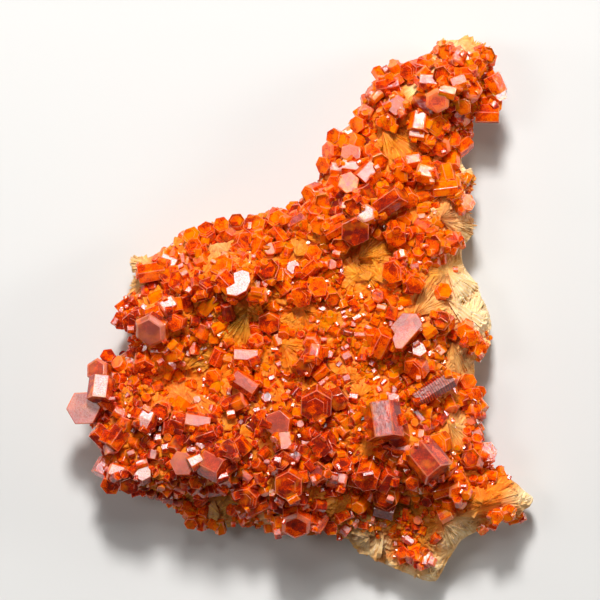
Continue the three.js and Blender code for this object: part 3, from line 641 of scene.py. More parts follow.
        bar(-10.1, -16.4, 3.0, 3.6, 26, 250, 30, 1.0), plate(-8.9, -11.2, 2.8, 2.6, 24, 250, 10),
        bar(-8.6, -9.0, 3.2, 3.8, 14, 92, 177, 1.4, frost=0.6),
        plate(-7.1, -6.7, 2.6, 2.4, 30, 60, 35, 1.2),
    ],
    "centre_dark": [
        plate(1.1, -10.0, 3.6, 3.2, 36, 240, 0, 1.0), bar(2.4, -8.4, 3.0, 2.2, 18, 92, 80, 1.5),
    ],
    "heart_hexagon": [plate(2.6, -16.4, 5.6, 3.4, 17, 265, 88, 2.0, shape="stepped", tone=0.3)],
    "heart_west_prisms": [
        plate(-3.2, -19.4, 4.4, 3.2, 15, 200, 80, 2.0, frost=0.4),
        bar(-2.3, -22.5, 3.4, 2.8, 14, 92, 98, 2.0, frost=0.4),
        bar(-1.8, -24.4, 3.0, 3.2, 38, 262, 130, 1.2), plate(-3.4, -26.2, 3.0, 2.6, 32, 70, 50, 1.6),
        plate(-1.6, -29.0, 5.0, 3.0, 20, 240, 30, 2.2),
    ],
    "heart_notched": [plate(3.6, -22.7, 3.8, 2.8, 14, 250, 40, 2.0)],
    "keel_west": [plate(-8.0, -31.0, 4.2, 3.2, 38, 230, 70, 1.0)],
    "keel": [
        plate(-0.6, -35.2, 5.2, 3.6, 34, 268, 30, 1.6), bar(-2.8, -36.0, 3.6, 2.8, 20, 130, 100, 0.8),
        bar(2.9, -35.4, 2.8, 3.0, 20, 100, 60, 1.4),
    ],
    "keel_east": [
        plate(3.0, -27.4, 3.6, 2.8, 22, 160, 20, 1.8),
        bar(5.8, -28.4, 3.0, 3.4, 16, 92, 168, 1.8, frost=0.5),
        plate(6.4, -26.2, 3.4, 2.6, 24, 60, 10, 1.4),
    ],
    "prow": [bar(13.2, -19.2, 6.0, 5.8, 14, 110, 98, 2.2, shape="plain", tone=0.78, frost=0.12)],
    "prow_low": [
        plate(10.8, -27.8, 4.2, 3.6, 34, 250, 20, 1.8), bar(14.0, -28.6, 3.4, 3.6, 30, 250, 60, 1.6),
        plate(13.8, -31.0, 4.4, 3.0, 30, 240, 40, 1.4),
    ],
    "knob": [bar(20.2, -25.8, 6.4, 5.6, 22, 120, 128, 2.4, shape="uneven", tone=0.65, frost=0.14)],
    "arm_root": [plate(25.2, -30.2, 3.4, 2.8, 24, 260, 30, 1.0)],
    "east_corner": [plate(29.4, -24.5, 3.6, 2.8, 34, 20, 60), plate(27.6, -25.5, 3.4, 2.6, 26, 150, 10)],
    "arm_south": [plate(33.2, -34.1, 2.6, 2.2, 34, 280, 20), plate(31.5, -34.3, 2.4, 2.2, 24, 250, 0)],
    "foot_studs": [
        plate(16.8, -40.7, 2.2, 2.0, 34, 150, 10), plate(18.5, -41.3, 2.2, 2.0, 30, 60, 0),
        bar(20.2, -41.5, 2.0, 2.2, 21, 90, 80, 0.8),
    ],
}

# Where the rock is pale, amber, olive (painted shade in hollows), grey (partly grey rock, partly painted
# shade at rims and underneath) or bare, and where crystals are deep red with painted shade, lit with painted
# glow, or fine: x, y and reach in millimetres, and how much
tints = {
    # pale: cream barite; a few patches also lighten walls that the lamps leave dark, as painted light
    "pale": [
        (18.4, 33.8, 1.5, 0.8), (20.4, -0.6, 2.4, 0.25), (25.2, 13.6, 3.2, 0.45), (23.6, 24.6, 2.4, 0.3),
        (21.0, 36.8, 1.6, 0.5), (27.6, 2.0, 4.0, 1.3), (29.2, -3.2, 3.6, 1.3), (26.4, -1.0, 2.4, 0.3),
        (26.6, 21.4, 1.8, 1.0), (24.8, 39.8, 3.4, 0.6), (36.4, -31.6, 2.0, 1.3), (33.6, -34.6, 1.6, 0.6),
        (26.4, -37.0, 2.2, 1.0), (23.4, -39.2, 1.8, 0.8), (22.0, -42.4, 1.4, 0.8), (20.7, -44.6, 1.4, 1.0),
        (24.6, -36.4, 1.2, 0.5), (17.6, -43.9, 1.1, 0.8), (14.6, -42.4, 1.0, 0.8), (11.4, -40.6, 1.0, 0.7),
        (13.1, -39.4, 1.2, 1.3), (-26.6, 5.8, 2.2, 0.7), (-27.2, 2.4, 1.8, 0.6), (-18.8, -16.0, 2.4, 0.1),
        (-13.8, 10.4, 2.6, 0.3), (-12.4, 7.6, 2.0, 0.2), (26.0, -9.8, 2.6, 0.4), (27.0, 10.4, 2.2, 0.4),
        (14.0, 36.4, 1.6, 0.6), (26.6, -20.0, 2.4, 0.5),
    ],
    "amber": [
        (25.0, 13.0, 3.0, 0.5), (-18.4, -14.6, 4.2, 1.0), (19.2, -36.2, 3.6, 0.9), (22.6, -35.2, 2.6, 0.8),
        (15.4, 25.0, 4.0, 0.3), (32.4, -30.8, 4.0, 0.9), (28.6, -33.0, 3.0, 0.7), (5.0, -9.0, 7.0, 0.9),
        (7.0, 1.0, 5.0, 0.5), (-3.0, -15.0, 6.0, 0.8), (15.4, -39.0, 3.6, 0.9), (11.0, -37.6, 3.6, 0.5),
        (-10.0, -14.0, 5.0, 0.5), (20.0, -16.0, 6.0, 0.5), (22.0, -6.0, 3.0, 0.4),
    ],
    "olivePaintedShade": [
        (19.6, -37.6, 3.0, 0.6), (-9.0, -3.6, 3.2, 0.5), (15.2, -33.0, 3.0, 0.8), (18.4, -34.0, 2.0, 0.4),
        (10.4, -36.2, 3.6, 0.9), (-16.2, -9.6, 2.6, 0.6), (13.2, 9.2, 3.0, 0.5), (18.6, 23.0, 3.0, 0.3),
        (4.4, -2.0, 3.0, 0.3), (-11.0, -33.4, 4.0, 0.7),
    ],
    # grey: partly greyer rock, partly painted shade at rims and underneath
    "grey": [
        (30.6, 2.6, 1.5, 0.6), (31.2, -0.4, 1.3, 0.6), (17.6, -43.8, 1.8, 0.4), (9.6, -38.8, 3.0, 0.6),
        (-4.0, -36.8, 5.0, 0.5), (-16.0, -36.0, 4.0, 0.5),
    ],
    "bare": [
        (26.4, 1.2, 3.6, 1.3), (28.8, -2.8, 3.2, 1.3), (24.6, 4.6, 2.0, 1.1), (24.2, -0.8, 2.8, 1.2),
        (21.8, 0.4, 1.8, 0.9), (22.6, 3.8, 2.2, 1.1), (26.0, -10.4, 2.8, 1.3), (25.0, -8.2, 1.6, 0.9),
        (27.6, -12.4, 1.6, 1.0), (29.6, 2.6, 2.4, 1.3), (30.4, -1.0, 2.0, 1.3), (27.4, 5.4, 1.8, 1.2),
        (26.2, -38.6, 2.4, 1.3), (21.9, -44.8, 2.0, 1.3), (8.4, -38.0, 1.8, 0.9), (26.4, 10.4, 2.6, 1.3),
        (24.8, 13.6, 2.4, 1.2), (24.0, 16.6, 1.8, 1.0), (26.2, 7.2, 1.6, 1.0), (26.6, 21.4, 1.6, 1.1),
        (15.4, 26.0, 3.2, 1.3), (16.6, 22.8, 2.4, 1.1), (13.6, 29.4, 2.0, 0.9), (18.2, 32.2, 1.6, 1.0),
        (17.6, 34.2, 1.3, 1.1), (20.8, 36.6, 1.9, 1.3), (25.4, 40.4, 2.8, 1.1), (28.6, 39.9, 1.6, 1.0),
        (-9.2, -3.0, 2.8, 1.1), (-8.0, -5.6, 2.0, 0.9), (0.4, -1.6, 2.0, 1.0), (-1.6, -7.6, 2.2, 0.9),
        (-1.0, -10.4, 1.6, 0.7), (11.0, 7.4, 2.8, 1.2), (10.0, 3.6, 2.4, 1.1), (6.4, 8.0, 2.0, 0.9),
        (13.2, 6.0, 2.0, 0.8), (0.0, 8.2, 1.8, 0.9), (-4.0, 6.6, 1.6, 0.7), (-14.8, 10.6, 2.4, 0.9),
        (-12.6, 8.0, 1.6, 0.8), (-26.4, 6.0, 2.2, 1.3), (-26.8, 2.6, 2.0, 1.3), (-23.6, 7.4, 1.2, 1.0),
        (-18.6, -15.2, 2.4, 0.8), (-21.6, -13.0, 1.8, 0.8), (-16.8, -11.0, 2.0, 0.9), (19.6, 1.0, 2.6, 1.1),
        (20.2, -1.2, 1.8, 1.2), (24.6, -20.2, 2.0, 1.1), (26.2, -18.0, 1.4, 0.8), (10.6, -23.4, 2.0, 0.9),
        (16.4, -32.2, 2.0, 0.7), (5.6, -33.4, 2.4, 0.7), (34.6, -31.2, 3.2, 1.3), (31.2, -32.0, 3.0, 1.0),
        (28.6, -33.6, 2.2, 0.9), (21.6, -35.6, 2.0, 0.6), (25.4, -38.0, 2.4, 1.3), (11.6, -40.0, 2.4, 1.2),
        (18.6, -33.6, 1.4, 0.5), (16.6, -43.4, 3.4, 1.3), (22.6, -42.0, 2.8, 1.3), (20.8, -45.0, 2.4, 1.3),
        (12.6, -42.0, 2.4, 1.2), (-12.6, -33.0, 3.0, 0.8), (-5.4, -35.0, 2.2, 0.6),
        (-18.0, -31.4, 2.0, 0.6),
    ],
    "deepRedAndPaintedShade": [
        (-19.0, -24.0, 6.0, 0.8), (-7.0, -21.0, 5.0, 0.8), (5.6, -13.0, 4.0, 0.6), (6.0, 25.4, 3.6, 0.4),
        (3.0, -20.0, 7.0, 0.5), (2.0, -11.0, 7.0, 0.5), (-27.0, -26.0, 9.0, 0.7), (-13.0, -27.0, 8.0, 0.8),
        (0.0, -31.0, 8.0, 0.4), (12.0, -30.0, 7.0, 0.4), (-24.0, -4.0, 6.0, 0.6), (-30.0, -14.0, 5.0, 0.6),
        (-12.0, 2.0, 4.5, 0.5), (20.0, -26.0, 5.0, 0.4), (8.6, 12.0, 4.0, 0.5), (19.4, -38.6, 3.4, 0.6),
    ],
    "paintedGlow": [
        (-19.0, 0.0, 4.0, 0.6), (22.0, 2.0, 6.0, 0.8), (25.0, 12.0, 5.0, 0.8), (26.0, -32.0, 4.0, 0.7),
        (29.0, 33.0, 5.0, 0.6), (8.0, -4.0, 8.0, 0.5), (22.0, -12.0, 7.0, 0.6), (-18.0, -13.0, 6.0, 0.8),
        (-16.0, 8.0, 5.0, 0.5), (18.0, 14.0, 6.0, 0.4), (-2.0, 4.0, 6.0, 0.4),
    ],
    "fine": [
        (9.0, -12.0, 8.0, 1.0), (2.0, -8.0, 6.0, 0.8), (6.0, 2.0, 5.0, 0.6), (26.0, 16.0, 5.0, 0.8),
        (15.0, -38.0, 6.0, 1.0), (-18.0, -14.0, 4.0, 0.6), (-6.0, -10.0, 5.0, 0.5), (4.0, -21.0, 4.0, 0.5),
        (20.0, -12.0, 4.0, 0.6), (24.0, -26.0, 4.0, 0.5), (-10.0, 6.0, 4.0, 0.5),
    ],
}


def tintAt(points, name):
    # points in metres; the sum of soft round patches, held between 0 and 1
    total = np.zeros(len(points))
    for x, y, reach, amount in tints[name]:
        away = np.hypot(points[:, 0] - x * mm, points[:, 1] - y * mm) / (reach * mm)
        total += amount * np.exp(-away ** 2)
    return np.clip(total, 0, 1)


# Crystals in their places
placing = {
    "gap": 0.3,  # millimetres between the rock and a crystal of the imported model
    "seatRings": [(6, 0.3), (12, 0.6), (18, 0.85), (24, 1.1)],
    "edgeSteps": 10,  # how finely the way back from an edge is searched for rock
    "rimTop": 6.6,
    "sky": 60,  # millimetres, well above the highest crystal
    "endKept": 0.12,  # share of a shape at each end that isn't drawn out
    # share of a crystal's top kept free of the painted shade at its root
    "rootShadeFade": 0.25,
    "toneStart": 0.2,
    "toneBySize": 0.14,
    "plainSize": 2.4,  # the size that has the start tone
    "toneSpread": 0.22,
    # tone by place: darker for deep red crystals and painted shade, lighter for painted glow
    "toneDeepRedAndShade": 0.44,
    "tonePaintedGlow": 0.16,
}


def treeOf(*meshes):
    points, polygons = [], []
    for mesh in meshes:
        start = len(points)
        points += [vertex.co for vertex in mesh.vertices]
        polygons += [tuple(start + k for k in polygon.vertices) for polygon in mesh.polygons]
    return BVHTree.FromPolygons(points, polygons)


cadRockTree = treeOf(cadRock.data)


def surfaceBelow(tree, x, y):
    # what a line straight down meets first, or None past the edge; in metres
    return tree.ray_cast(Vector((x, y, placing["sky"] * mm)), Vector((0, 0, -1)))[0]


def groundUnder(x, y, stops):
    # height of the rock under a point; past its edge, the height met first on the way by each stop
    start = Vector((x, y))
    for stop in stops:
        end = Vector(stop)
        for step in range(placing["edgeSteps"] + 1):
            spot = start.lerp(end, step / placing["edgeSteps"])
            hit = surfaceBelow(cadRockTree, spot.x * mm, spot.y * mm)
            if hit:
                return hit.z / mm
        start = end
    return placing["rimTop"]


def seatHeight(c, home):
    # the level at which a tilted plane clears the rock all round the crystal
    stops = [(c["x"], c["y"]), (home["x"], home["y"])]
    reach = math.hypot(c["width"], c["length"]) / 2
    spots = [(0, 0, groundUnder(c["x"], c["y"], stops))]
    for count, share in placing["seatRings"]:
        for k in range(count):
            bearing = 2 * math.pi * k / count
            dx = reach * share * math.cos(bearing)
            dy = reach * share * math.sin(bearing)
            spots.append((dx, dy, groundUnder(c["x"] + dx, c["y"] + dy, stops)))
    slopeX = sum(z * dx for dx, dy, z in spots) / sum(dx * dx for dx, dy, z in spots)
    slopeY = sum(z * dy for dx, dy, z in spots) / sum(dy * dy for dx, dy, z in spots)
    return max(z - slopeX * dx - slopeY * dy for dx, dy, z in spots) + placing["gap"]


def crystalAxes(tilt, toward, spin, onEnd):
    seen = direction(tilt, toward)
    level = Vector((math.cos(math.radians(spin)), math.sin(math.radians(spin)), 0))
    spun = (level - seen * level.dot(seen)).normalized()
    side = seen.cross(spun)
    columns = (spun, side, seen) if onEnd else (side, seen, spun)
    return Matrix(columns).transposed()


def drawnOut(points, width, length):
    # bevels and steps at the ends keep their form; the middle is drawn out to the crystal's length
    keep = placing["endKept"]
    z = points[:, 2]
    middle = z * (length / 2 - keep * width) / (0.5 - keep)
    end = np.sign(z) * (length / 2 - (0.5 - np.abs(z)) * width)
    return np.column_stack([points[:, :2] * width, np.where(np.abs(z) < 0.5 - keep, middle, end)])


def crystalStamp(shape, width, length, axes, centre, tone, seed, frost=0.0):
    points = shapes[shape]["points"]
    place = np.array([centre])
    # deep red and painted shade make a crystal darker here, painted glow makes it lighter
    tone += placing["toneDeepRedAndShade"] * tintAt(place, "deepRedAndPaintedShade")[0] - placing["tonePaintedGlow"] * tintAt(place, "paintedGlow")[0]
    placed = drawnOut(points, width * mm, length * mm) @ np.array(axes).T + np.array(centre)
    top, foot = placed[:, 2].max(), placed[:, 2].min()
    fade = placing["rootShadeFade"]
    # how far down the crystal a point lies; the finish paints shade towards the foot
    depth = np.clip((top - placed[:, 2]) / (top - foot) * (1 + fade) - fade, 0, 1)
    return {
        "shape": shape,
        "points": placed,
        "values": {
            "tone": tone, "seed": seed, "frost": frost, "depth": depth, "striped": float(shape == "striped"),
        },
        "vectors": {"local": points},
    }


plateShapes = ["stepped", "plain", "uneven", "hollow", "cutRim", "stepped", "uneven"]
barShapes = ["plain", "barrel", "tapered", "cutRim", "plain", "uneven"]


def shapeFor(c, roll):
    return c["shape"] or roll.choice(plateShapes if c["onEnd"] else barShapes)


def listedStamp(c, shape, ground, tone, roll):
    # a crystal from the tables, its middle as far over the ground as its lift says
    axes = crystalAxes(c["tilt"], c["toward"], c["spin"], c["onEnd"])
    centre = (c["x"] * mm, c["y"] * mm, (ground + c["lift"]) * mm)
    return crystalStamp(shape, c["width"], c["length"], axes, centre, tone, roll.random(), c["frost"])


def dressColony(name, crystals, roll):
    stamps = []
    for c in crystals:
        shape = shapeFor(c, roll)
        size = (c["width"] + c["length"]) / 2
        usual = placing["toneStart"] + placing["toneBySize"] * (size - placing["plainSize"])
        tone = c["tone"] or usual + roll.uniform(-1, 1) * placing["toneSpread"]
        stamps.append(listedStamp(c, shape, seatHeight(c, crystals[0]), tone, roll))
    piece = stampedPiece("crystals_" + name, stamps)
    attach(piece, "root")
    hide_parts("vanadinite_" + name)
    return piece


roll = random.Random(11)
crystalPieces = [dressColony(name, crystals, roll) for name, crystals in colonies.items()]
print("colonies dressed:", len(crystalPieces))


# The rock. Fans of blades spread from these points: x, y, length, bearing, how wide they open, and how
# unevenly the blades lie
namedFans = {
    "spire tip": (22.4, 38.0, 3.8, 48, 95, 0.6),
    "spire tip back": (27.0, 37.4, 4.2, 62, 80, 0.6),
    "notch blade": (13.4, 34.0, 4.4, 52, 34, 1.0),
    "spire plate": (19.4, 34.4, 4.0, 50, 60, 1.0),
    "spire wall": (13.0, 27.6, 8.4, 305, 58, 0.6),
    "spire east": (24.0, 25.8, 3.2, 320, 110, 1.0),
    "white tooth": (23.8, 19.6, 3.9, 350, 66, 0.5),
    "feather": (22.4, 13.0, 5.2, 42, 64, 0.7),
    "square corner": (22.6, 12.6, 5.3, 340, 50, 0.5),
    "brow fan": (9.2, 6.6, 5.4, 36, 70, 1.0),
    "brow fan low": (9.2, 5.8, 4.4, 322, 60, 1.0),
    "east fan high": (23.6, 4.4, 5.4, 314, 52, 0.2),
    "east fan low": (23.4, 0.2, 7.0, 318, 34, 0.2),
    "east slope": (18.0, -2.6, 5.4, 42, 64, 0.8),
    "east skirt": (24.2, -6.6, 5.4, 280, 56, 0.5),
    "centre block": (0.6, -1.6, 3.2, 320, 60, 1.0),
    "olive fan": (-8.4, -2.0, 5.6, 248, 62, 1.0),
    "pale brow": (-13.6, 9.6, 3.2, 56, 90, 1.0),
    "centre feather": (-2.8, -7.0, 5.0, 318, 96, 1.0),
    "west blade": (-23.6, 5.6, 4.2, 172, 60, 0.3),
    "west ear": (-23.8, 3.4, 4.2, 196, 50, 0.3),
    "hollow fan": (-18.4, -14.4, 5.2, 285, 110, 1.0),
    "cream fan": (23.6, -19.6, 5.4, 312, 60, 1.0),
    "arm high": (25.6, -33.4, 8.8, 18, 30, 0.4),
    "arm low": (25.2, -34.6, 10.4, 12, 32, 0.5),
    "foot blade": (12.8, -37.6, 4.4, 282, 12, 1.0),
    "foot point": (19.4, -39.0, 5.5, 288, 56, 0.3),
    "pale underside": (22.6, -35.4, 4.6, 310, 60, 0.4),
}

# Blades that stand on edge: x, y, length, bearing, width and how tall
standingBlades = [(13.4, -37.4, 4.4, 259, 0.9, 3.0), (18.0, 32.6, 3.0, 62, 0.5, 2.2)]

rock = {
    "weld": 0.001,
    "levelSeed": 97,  # any whole number: it deals out the levels of the ridges
    "lumpShift": (7, 3, 1),
    "voxel": 0.45,
    "melt": 5,  # rounds of smoothing that take the facets off
    "looseApexes": 80,
    "looseField": ((-36, 36), (-44, 42)),
    "apexGap": 4.2,
    "ridgePitch": 15,  # degrees from one ridge of a fan to the next
    "ridgeHeight": 0.32,
    "ridgeBend": 30,  # degrees by which a slow noise bends the ridges
    "ridgeTurn": 0.37,  # pitches by which each fan is turned against the one before
    "ridgeStart": 2.5,  # millimetres over which the ridges rise from their root
    "bendScale": 260,
    "terrace": 0.35,
    "lump": 0.35,
    "lumpScale": 420,
    "reliefOnWalls": 0.25,  # share of the relief that walls keep
    "reliefSlope": 1.6,
    "bladeRootShadeLevel": 0.55,  # painted shade at the root of a blade: how deep it counts as lying, where 0 is a cleft and 1 the open
    "restingZone": 0.25,  # millimetres from the floor that stay flat
    "stain": {"everywhere": 0.5, "perCrystal": 0.7, "beside": 0.6, "bare": 0.4},
    "bladesPerFan": 28,
    "bladeThickness": 0.5,
    "bladeRoll": 6,  # degrees that a blade leans to one side
    "bladeJitter": 0.25,  # of the distance from one blade to the next
    "bladeReach": (0.93, 1.04),
    "bladeLift": (-0.08, 0.16),
    "bladeOverlap": 1.35,
    "ridgedShare": 0.4,
    "fanLayers": [(1.0, 0.05), (0.72, 0.28), (0.45, 0.5)],  # share of the fan's reach, and height
    "rosettes": 260,
    "rosetteScatter": 2.4,
    "rosetteReach": (1.4, 3.2),
    "rosetteSpread": (50, 140),
    "rosetteBlades": 6,
    "rosettePale": 0.45,  # paler rock than this carries none
    "drapeSteps": 12,
    "overhang": 0.8,  # millimetres that a blade may reach past the edge of the rock
}


def vertexVectors(mesh, field):
    flat = np.empty(len(mesh.vertices) * 3, np.float32)
    mesh.vertices.foreach_get(field, flat)
    return flat.reshape(-1, 3).astype(float)


def fanApexes():
    # the roots of the named fans, and of more small ones all over the face
    dice = random.Random(5)
    acrossField, alongField = rock["looseField"]
    spots = [(fan[0], fan[1]) for fan in namedFans.values()]
    while len(spots) < len(namedFans) + rock["looseApexes"]:
        spot = (dice.uniform(*acrossField), dice.uniform(*alongField))
        lone = all(math.dist(spot, other) > rock["apexGap"] for other in spots)
        if lone and surfaceBelow(cadRockTree, spot[0] * mm, spot[1] * mm):
            spots.append(spot)
    return np.array(spots) * mm


def stainNear(points):
    # the rock takes colour from the crystals beside it
    stain = np.zeros(len(points))
    for c in [c for crystals in colonies.values() for c in crystals]:
        away = np.hypot(points[:, 0] - c["x"] * mm, points[:, 1] - c["y"] * mm)
        stain += rock["stain"]["perCrystal"] * np.exp(-(away / (c["width"] * mm)) ** 2)
    return np.clip(stain, 0, 1)


def giveTints(mesh, creviceShadeLevel):
    points = vertexVectors(mesh, "co")
    share = rock["stain"]
    stain = share["everywhere"] + share["beside"] * stainNear(points) - share["bare"] * tintAt(points, "bare")
    stain += tintAt(points, "amber") - tintAt(points, "pale")
    for name in ("pale", "olivePaintedShade", "grey"):
        giveValues(mesh, name, tintAt(points, name))
    giveValues(mesh, "stain", np.clip(stain, 0, 1))
    giveValues(mesh, "creviceShadeLevel", creviceShadeLevel)


def evenRock():
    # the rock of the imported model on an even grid, with its facets melted away
    body = bpy.data.objects.new("barite_rock", cadRock.data.copy())
    body.data.materials.clear()
    bpy.context.scene.collection.objects.link(body)
    onlyThis(body)
    bpy.ops.object.mode_set(mode="EDIT")
    bpy.ops.mesh.select_all(action="SELECT")
    bpy.ops.mesh.remove_doubles(threshold=rock["weld"] * mm)
    bpy.ops.object.mode_set(mode="OBJECT")
    remesh = body.modifiers.new("even_grid", "REMESH")
    remesh.mode = "VOXEL"
    remesh.voxel_size = rock["voxel"] * mm
    bpy.ops.object.modifier_apply(modifier="even_grid")
    melt = body.modifiers.new("melt_facets", "SMOOTH")
    melt.iterations = rock["melt"]
    bpy.ops.object.modifier_apply(modifier="melt_facets")
    return body


def noiseAt(points, scale, shift=(0, 0, 0)):
    return np.array([noise.noise(Vector(point) * scale + Vector(shift)) for point in points])


def makeRock(apexes):
    # ridges and terraces run out from the nearest root of a fan, over lumps of no direction
    body = evenRock()
    mesh = body.data
    points, normals = vertexVectors(mesh, "co"), vertexVectors(mesh, "normal")
    away = np.hypot(points[:, None, 0] - apexes[None, :, 0], points[:, None, 1] - apexes[None, :, 1])
    nearest = away.argmin(axis=1)
    radius = away[np.arange(len(points)), nearest] / mm
    apex = apexes[nearest]
    angle = np.degrees(np.arctan2(points[:, 1] - apex[:, 1], points[:, 0] - apex[:, 0]))
    bend = rock["ridgeBend"] * noiseAt(points, rock["bendScale"])
    turn = (angle + bend) / rock["ridgePitch"] + nearest * rock["ridgeTurn"]
    ridge = 1 - 2 * np.abs(turn % 1 - 0.5) * 2
    # each ridge has a level of its own
    levels = [random.Random(int(k) * rock["levelSeed"] + int(a)) for k, a in zip(turn // 1, nearest)]
    step = np.array([level.random() for level in levels])
    grown = np.clip(radius / rock["ridgeStart"], 0, 1) * (
        rock["ridgeHeight"] * ridge * 0.5 + rock["terrace"] * (step - 0.5)
    )
    grown += rock["lump"] * noiseAt(points, rock["lumpScale"], rock["lumpShift"])
    grown *= np.clip(normals[:, 2] * rock["reliefSlope"], rock["reliefOnWalls"], 1)
    grown[points[:, 2] < rock["restingZone"] * mm] = 0
    moved = points + normals * (grown * mm)[:, None]
    moved[:, 2] = np.maximum(moved[:, 2], 0)
    mesh.vertices.foreach_set("co", moved.astype(np.float32).ravel())
    mesh.update()
    # low relief counts as a crevice, for painted shade
    giveTints(mesh, np.clip(0.5 + grown, 0, 1))
    giveValues(mesh, "apex", np.column_stack([apex, np.zeros(len(apex))]))
    return body


def bladeStamp(shape, x, y, way, reach, width, heights, roll, thickness=rock["bladeThickness"]):
    # a blade laid out over the rock: way is its bearing, heights the rock's height at each of its joints
    model = shapes[shape]["points"]
    share = np.clip(model[:, 0], 0, 1)
    out = model[:, 0] * reach
    side = model[:, 1] * width
    rise = np.interp(share, np.linspace(0, 1, len(heights)), heights)
    root = np.array([x, y, 0])
    points = np.column_stack([
        out * math.cos(way) - side * math.sin(way),
        out * math.sin(way) + side * math.cos(way),
        rise + model[:, 2] * thickness + side * math.tan(math.radians(roll)),
    ])
    return {
        "shape": shape,
        "points": (points + root) * mm,
        "values": {"share": share},
        "vectors": {"apex": root * mm},
    }


def drapedBlade(tree, x, y, way, reach):
    # how far a blade may reach, a little past the edge of the rock, and the rock's height at its joints
    found = []
    for step in np.linspace(0, reach, rock["drapeSteps"]):
        hit = surfaceBelow(tree, (x + step * math.cos(way)) * mm, (y + step * math.sin(way)) * mm)
        if not hit:
            break
        found.append((step, hit.z / mm))
    if len(found) < 3:
        return 0, []
    steps, heights = zip(*found)
    if len(found) < rock["drapeSteps"]:
        reach = steps[-1] + rock["overhang"]
    joints = np.linspace(0, reach, bladeShapes["cuts"] + 2)
    return reach, [float(np.interp(joint, steps, heights)) for joint in joints]


def fanStamps(tree, dice, x, y, length, bearing, spread, rough, count=rock["bladesPerFan"]):
    # layers of blades, each shorter than the one below, that close up side by side and end in a torn edge
    stamps = []
    for share, rise in rock["fanLayers"]:
        for k in range(count):
            along = (k + dice.uniform(-rock["bladeJitter"], rock["bladeJitter"])) / (count - 1)
            way = math.radians(bearing + spread * (along - 0.5))
            reach = length * share * dice.uniform(*rock["bladeReach"])
            lift = rise + dice.uniform(*rock["bladeLift"]) * rough
            reach, heights = drapedBlade(tree, x, y, way, reach)
            if not heights:
                continue
            heights = [height + lift for height in heights]
            width = rock["bladeOverlap"] * reach * math.radians(spread) / (count - 1)
            shape = "ridgedBlade" if dice.random() < rock["ridgedShare"] * rough else "thinBlade"
            roll = dice.gauss(0, rock["bladeRoll"]) * rough
            stamps.append(bladeStamp(shape, x, y, way, reach, width, heights, roll))
    return stamps


def bladePiece(name, stamps):
    blades = stampedPiece(name, stamps)
    share = np.empty(len(blades.data.vertices), np.float32)
    blades.data.attributes["share"].data.foreach_get("value", share)
    # painted shade, darkest at the root of each blade
    giveTints(blades.data, rock["bladeRootShadeLevel"] + (1 - rock["bladeRootShadeLevel"]) * share)
    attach(blades, "root")
    return blades


def makeBlades(body, apexes):
    dice = random.Random(21)
    tree = treeOf(body.data)
    fans, rosettes = [], []
    for fan in namedFans.values():
        fans += fanStamps(tree, dice, *fan)
    for k in range(rock["rosettes"]):
        home = apexes[dice.randrange(len(apexes))] / mm
        x, y = home + np.array([dice.gauss(0, rock["rosetteScatter"]) for axis in "xy"])
        reach, bearing = dice.uniform(*rock["rosetteReach"]), dice.uniform(0, 360)
        spread = dice.uniform(*rock["rosetteSpread"])
        if tintAt(np.array([(x * mm, y * mm)]), "pale")[0] < rock["rosettePale"]:
            rosettes += fanStamps(tree, dice, x, y, reach, bearing, spread, 1.0, rock["rosetteBlades"])
    for x, y, length, bearing, width, tall in standingBlades:
        way = math.radians(bearing)
        reach, heights = drapedBlade(tree, x, y, way, length)
        fans.append(bladeStamp("thinBlade", x, y, way, reach, width, heights, 0, tall))
    return [bladePiece("barite_fans", fans), bladePiece("barite_rosettes", rosettes)]


apexes = fanApexes()
rockPiece = makeRock(apexes)
bladePieces = makeBlades(rockPiece, apexes)
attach(rockPiece, "root")
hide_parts("barite_matrix")
print("rock and blades made:", [len(piece.data.polygons) for piece in [rockPiece] + bladePieces])


# Small crystals between the larger ones. Leans at which a face mirrors a lamp into the camera:
mirrors = {
    "glint": 19.5,
    "sheen": 13.2,
    "bearing": 92,
}

